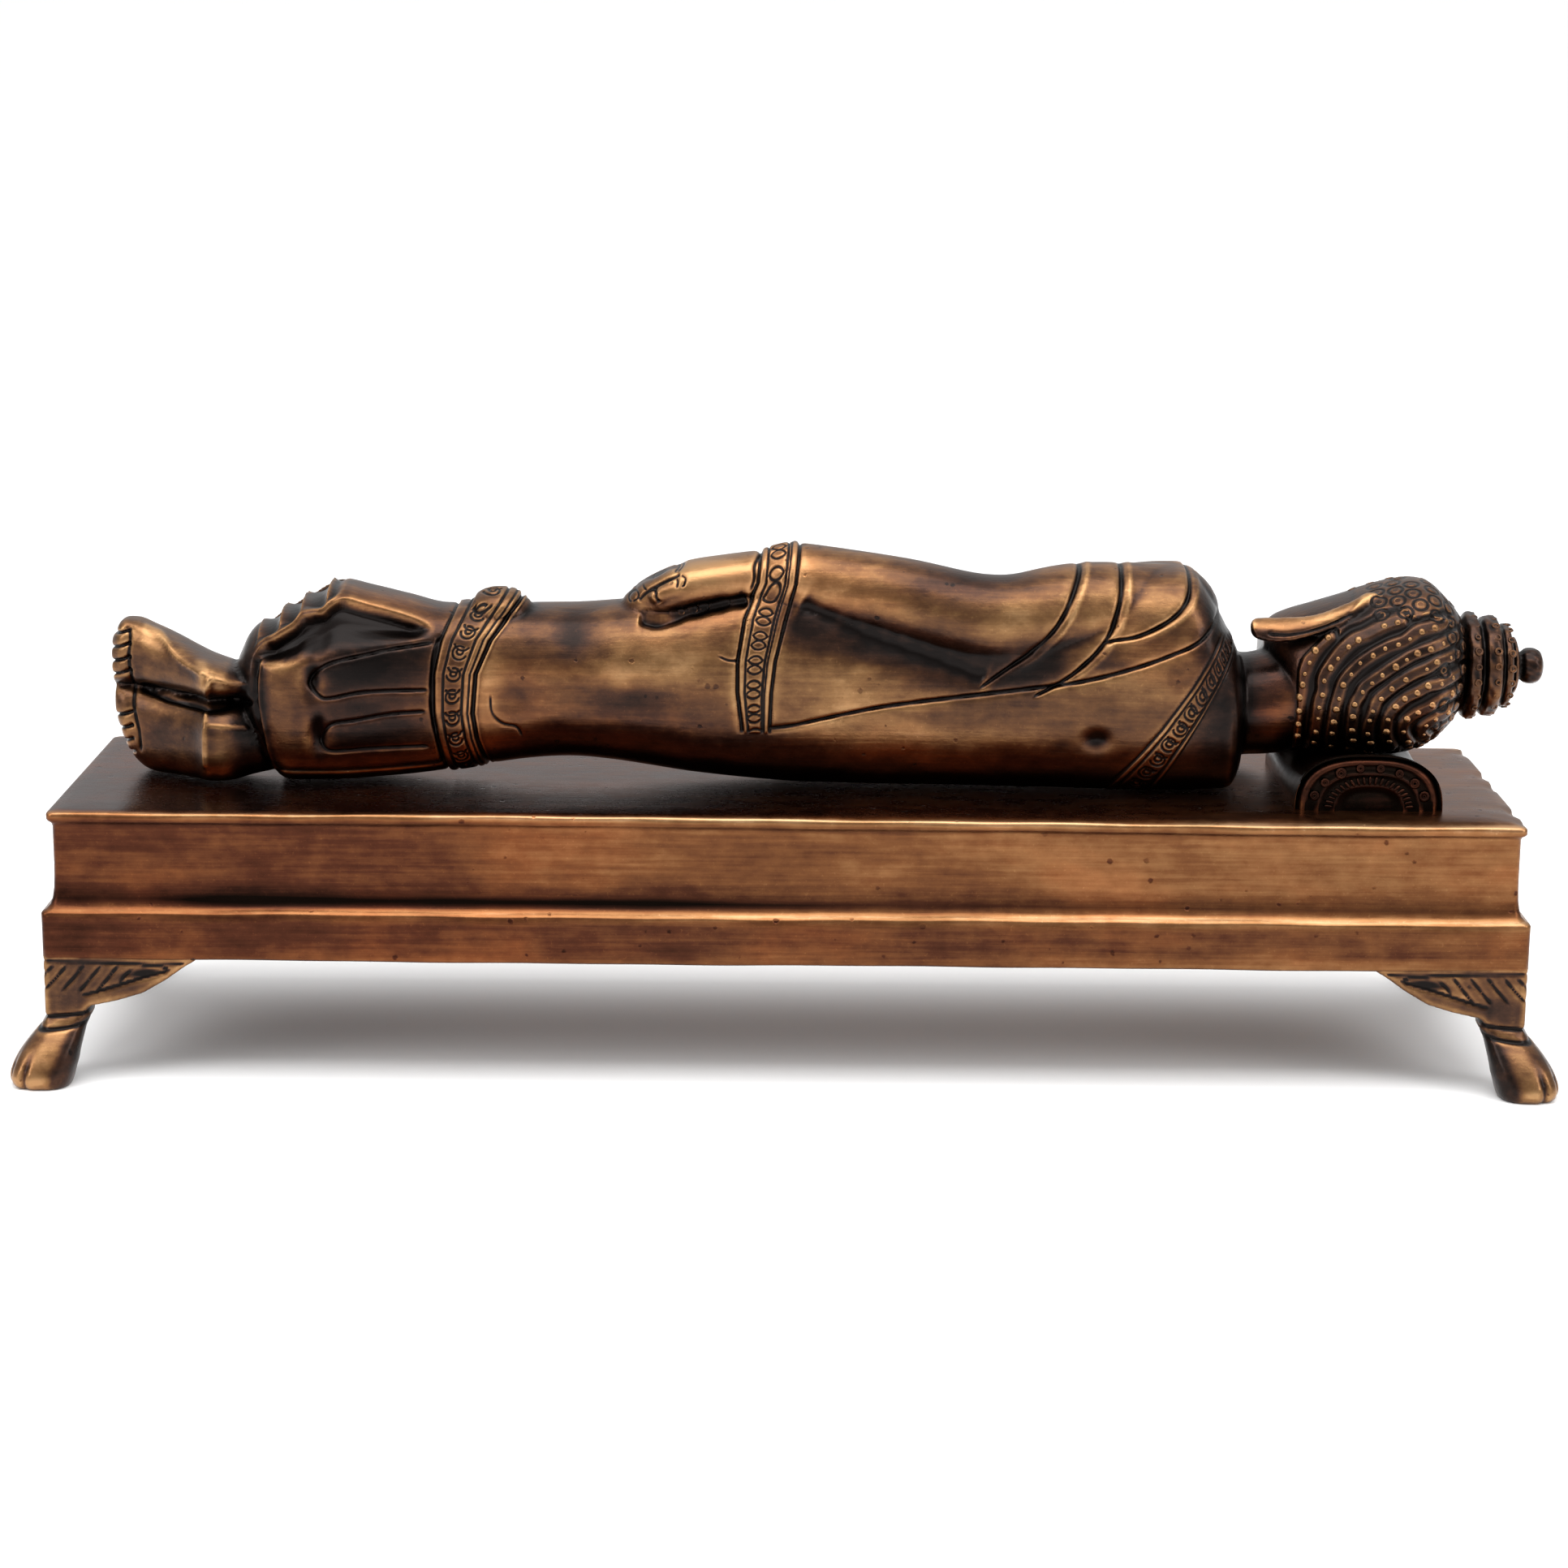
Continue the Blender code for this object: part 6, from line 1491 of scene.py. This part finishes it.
# %% Carve the leaf, the strokes, the ankle rings and the toes
carved = Carving(leg_skin)
side_face = ramp(carved.normals[:, 1], 0.3, 0.7) * (carved.z > 12.0)
end_face = ramp(carved.normals[:, 0], 0.3, 0.7) * (carved.z > 12.0)
LEAF_LINES = (
    # depth, half width, points as run from the corner and height
    (0.40, 0.36, ((0.0, 27.1), (14.0, 26.9), (24.0, 26.5), (31.0, 26.7))),
    (0.60, 0.42, ((8.4, 19.6), (10.9, 20.2), (14.7, 21.4), (21.0, 23.4), (27.5, 25.3))),
    (0.45, 0.40, ((27.5, 25.3), (25.0, 26.2), (21.0, 26.0))),
    (0.50, 0.50, ((19.4, 25.4), (17.6, 24.0), (16.6, 22.2))),
    (0.50, 0.38, ((-0.2, 23.4), (1.2, 25.0), (2.6, 26.3))),
)
STROKES, STROKE_STEP = 4, 3.7


def strokes():
    """The short slanting strokes beside the corner."""
    for i in range(STROKES):
        start = 0.4 + STROKE_STEP * i
        yield 0.60, 0.38, ((start, 20.8 - 0.2 * i), (start + 2.7, 23.6), (start + 4.9, 26.3))


for run, face in ((CORNER_X - carved.x, side_face), (CORNER_Y - carved.y, end_face)):
    for depth, width, line in LEAF_LINES + tuple(strokes()):
        carved.line(line, depth, width, face, taper=1.2, u=run, wax=0.9)
    leaf = np.exp(-(((run - 22.0) / 3.6) ** 2) - ((carved.z - 24.6 - 0.12 * (run - 22.0)) / 1.0) ** 2) * face
    carved.add(slice(None), 0.5, leaf, 0.7)
for height in (15.5, 13.2):
    level = carved.z + 0.10 * (carved.x + carved.y - CORNER_X - CORNER_Y)
    carved.add(slice(None), 0.45, np.exp(-((level - height + 0.9) / 0.42) ** 2) * (carved.z < 18.0))
leg_points = carved.points + carved.normals * carved.move.reshape(-1, 1)
leg_points[:, 2] = np.maximum(leg_points[:, 2], 0.0)
set_points(leg_skin, leg_points)
normals_leg = array_of(leg_skin.vertex_normals, "vector", 3)
leg_edge_wear, leg_form_wear = standing_proud(leg_skin, leg_points, 20)
leg_rub = 0.5 + 5.0 * leg_edge_wear + 1.3 * leg_form_wear
low = 1 - ramp(leg_points[:, 2], 13.0, 16.0)
# Painted shade: faces that turn inwards, under the couch, are darker, most of all low on the paw.
shaded_inward_faces = np.maximum(ramp(-normals_leg[:, 0], 0.10, 0.40), ramp(-normals_leg[:, 1], 0.10, 0.40))
shaded_inward_faces = shaded_inward_faces * (0.4 + 0.6 * low)
edge = np.minimum(np.abs(normals_leg[:, 0] - 0.02), np.abs(normals_leg[:, 1] - 0.02))
golden = np.exp(-((edge / 0.14) ** 2)) * low * (normals_leg[:, 2] > -0.3)
toe_gap = ramp(-leg_form_wear, 0.12, 0.4) * (leg_points[:, 2] < 14.0)
store(leg_skin, "rub_and_highlight", np.clip(leg_rub, 0, 1))
store(leg_skin, "tone", np.clip(0.40 + 0.06 * low - 0.42 * shaded_inward_faces + 0.22 * golden, 0, 1))
store(leg_skin, "wax", np.clip(np.maximum(carved.wax, toe_gap), 0, 1))
leg_skin.transform(Matrix.Scale(0.001, 4))
leg_skin.shade_smooth()
leg_pieces = []
for name, sx, sy in (("paw_head_front", 1, 1), ("paw_head_back", 1, -1), ("paw_toe_front", -1, 1),
                     ("paw_toe_back", -1, -1)):
    mesh = leg_skin.copy()
    mesh.transform(Matrix.Diagonal((sx, sy, 1.0, 1.0)))
    if sx * sy < 0:
        mesh.flip_normals()
    leg_pieces.append(piece_of(mesh, name))
    mesh.materials.append(leg_brass)

# %% [markdown]
# ## Which piece stands for which casting
# Nothing moves, so all pieces ride on the one body. The two plain castings are hidden, and
# these pieces take their place in the picture. The two plain castings stay in the physics model, and
# these pieces take their place in the picture.

# %% Ride and replace
figure_parts = figure_pieces + [hair_beads, hair_curls, topknot, topknot_studs]
couch_parts = leg_pieces + [couch_slab, pillow_piece, pillow_ribs, pillow_scrolls]
total = 0
for node, slot, parts in (("reclining_figure", "figure_bronze", figure_parts),
                          ("couch", "couch_bronze", couch_parts)):
    for piece in parts:
        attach(piece, "root")
        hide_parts(node)
        total += sum(len(p.vertices) - 2 for p in piece.data.polygons)
print("pieces:", len(figure_parts) + len(couch_parts), "triangles:", total)

# %% [markdown]
# ## Studio
# A pale floor and a bright, even sky with a darker horizon, as in a product photograph: polished metal
# shows what stands round it, so a white room would wash it out. One large soft light hangs above.

# %% Floor, sky and soft lights
floor_mesh = bpy.data.meshes.new("floor")
FLOOR_HALF = 80.0
floor_corners = [(sx * FLOOR_HALF, sy * FLOOR_HALF, 0) for sx, sy in ((-1, -1), (1, -1), (1, 1), (-1, 1))]
floor_mesh.from_pydata(floor_corners, [], [(0, 1, 2, 3)])
floor = piece_of(floor_mesh, "floor")
paper = bpy.data.materials.new("pale_paper")
paper.use_nodes = True
paper.node_tree.nodes["Principled BSDF"].inputs["Base Color"].default_value = (0.93, 0.93, 0.93, 1)
paper.node_tree.nodes["Principled BSDF"].inputs["Roughness"].default_value = 0.9
floor_mesh.materials.append(paper)
sky = bpy.data.worlds.new("sky")
bpy.context.scene.world = sky
sky.use_nodes = True
sky_tree = sky.node_tree
sky_start = Wire(sky_tree, None)
up = sky_start.node("ShaderNodeSeparateXYZ", {}, {"Vector": sky_start.node("ShaderNodeTexCoord", {}, {}, 0)},
                    2)
HORIZON, DARK_RING, ZENITH = 0.95, 0.42, 0.78
light = HORIZON - up.between(0.0, 0.12) * DARK_RING + up.between(0.15, 0.85) * ZENITH
sky_tree.links.new(light.socket, sky_tree.nodes["Background"].inputs["Strength"])
sky_tree.nodes["Background"].inputs["Color"].default_value = (1, 1, 1, 1)


def soft_light(name, place, aim, size, power):
    data = bpy.data.lights.new(name, "AREA")
    data.shape = "RECTANGLE"
    data.size, data.size_y = size
    data.energy = power
    lamp = piece_of(data, name)
    lamp.location = place
    lamp.rotation_euler = (Vector(aim) - Vector(place)).to_track_quat("-Z", "Y").to_euler()


soft_light("overhead", (0.0, -0.25, 0.85), (0, 0, 0.08), (1.1, 0.6), 7.0)
soft_light("left", (-0.75, -0.45, 0.45), (0, 0, 0.06), (0.3, 0.5), 2.0)
soft_light("right", (0.75, -0.45, 0.45), (0, 0, 0.06), (0.3, 0.5), 2.0)

# %% [markdown]
# ## Camera
# The view was fitted to the couch's corners: 13 degrees down, half a degree of roll, from 0.76 m.

# %% Camera at the photograph's place
LENS, SENSOR, LOOK_DOWN, ROLL = 79.94, 36.0, 13.0, 0.53
CAMERA_PLACE = (0.0, -0.7613, 0.2342)
PHOTO_SIZE, SHIFT_PIXELS = 1932, -4
camera_data = bpy.data.cameras.new("camera")
camera_data.sensor_width = SENSOR
camera_data.lens = LENS
camera_data.shift_x = SHIFT_PIXELS / PHOTO_SIZE
camera = piece_of(camera_data, "camera")
forward = Vector((0.0, math.cos(math.radians(LOOK_DOWN)), -math.sin(math.radians(LOOK_DOWN))))
turn = forward.to_track_quat("-Z", "Y").to_matrix() @ Matrix.Rotation(math.radians(ROLL), 3, "Z")
camera.matrix_world = Matrix.Translation(CAMERA_PLACE) @ turn.to_4x4()
print("camera:", LOOK_DOWN, "degrees down,", round(-CAMERA_PLACE[1], 2), "m away")
bpy.context.scene.camera = camera
bpy.context.scene.view_settings.view_transform = "Standard"
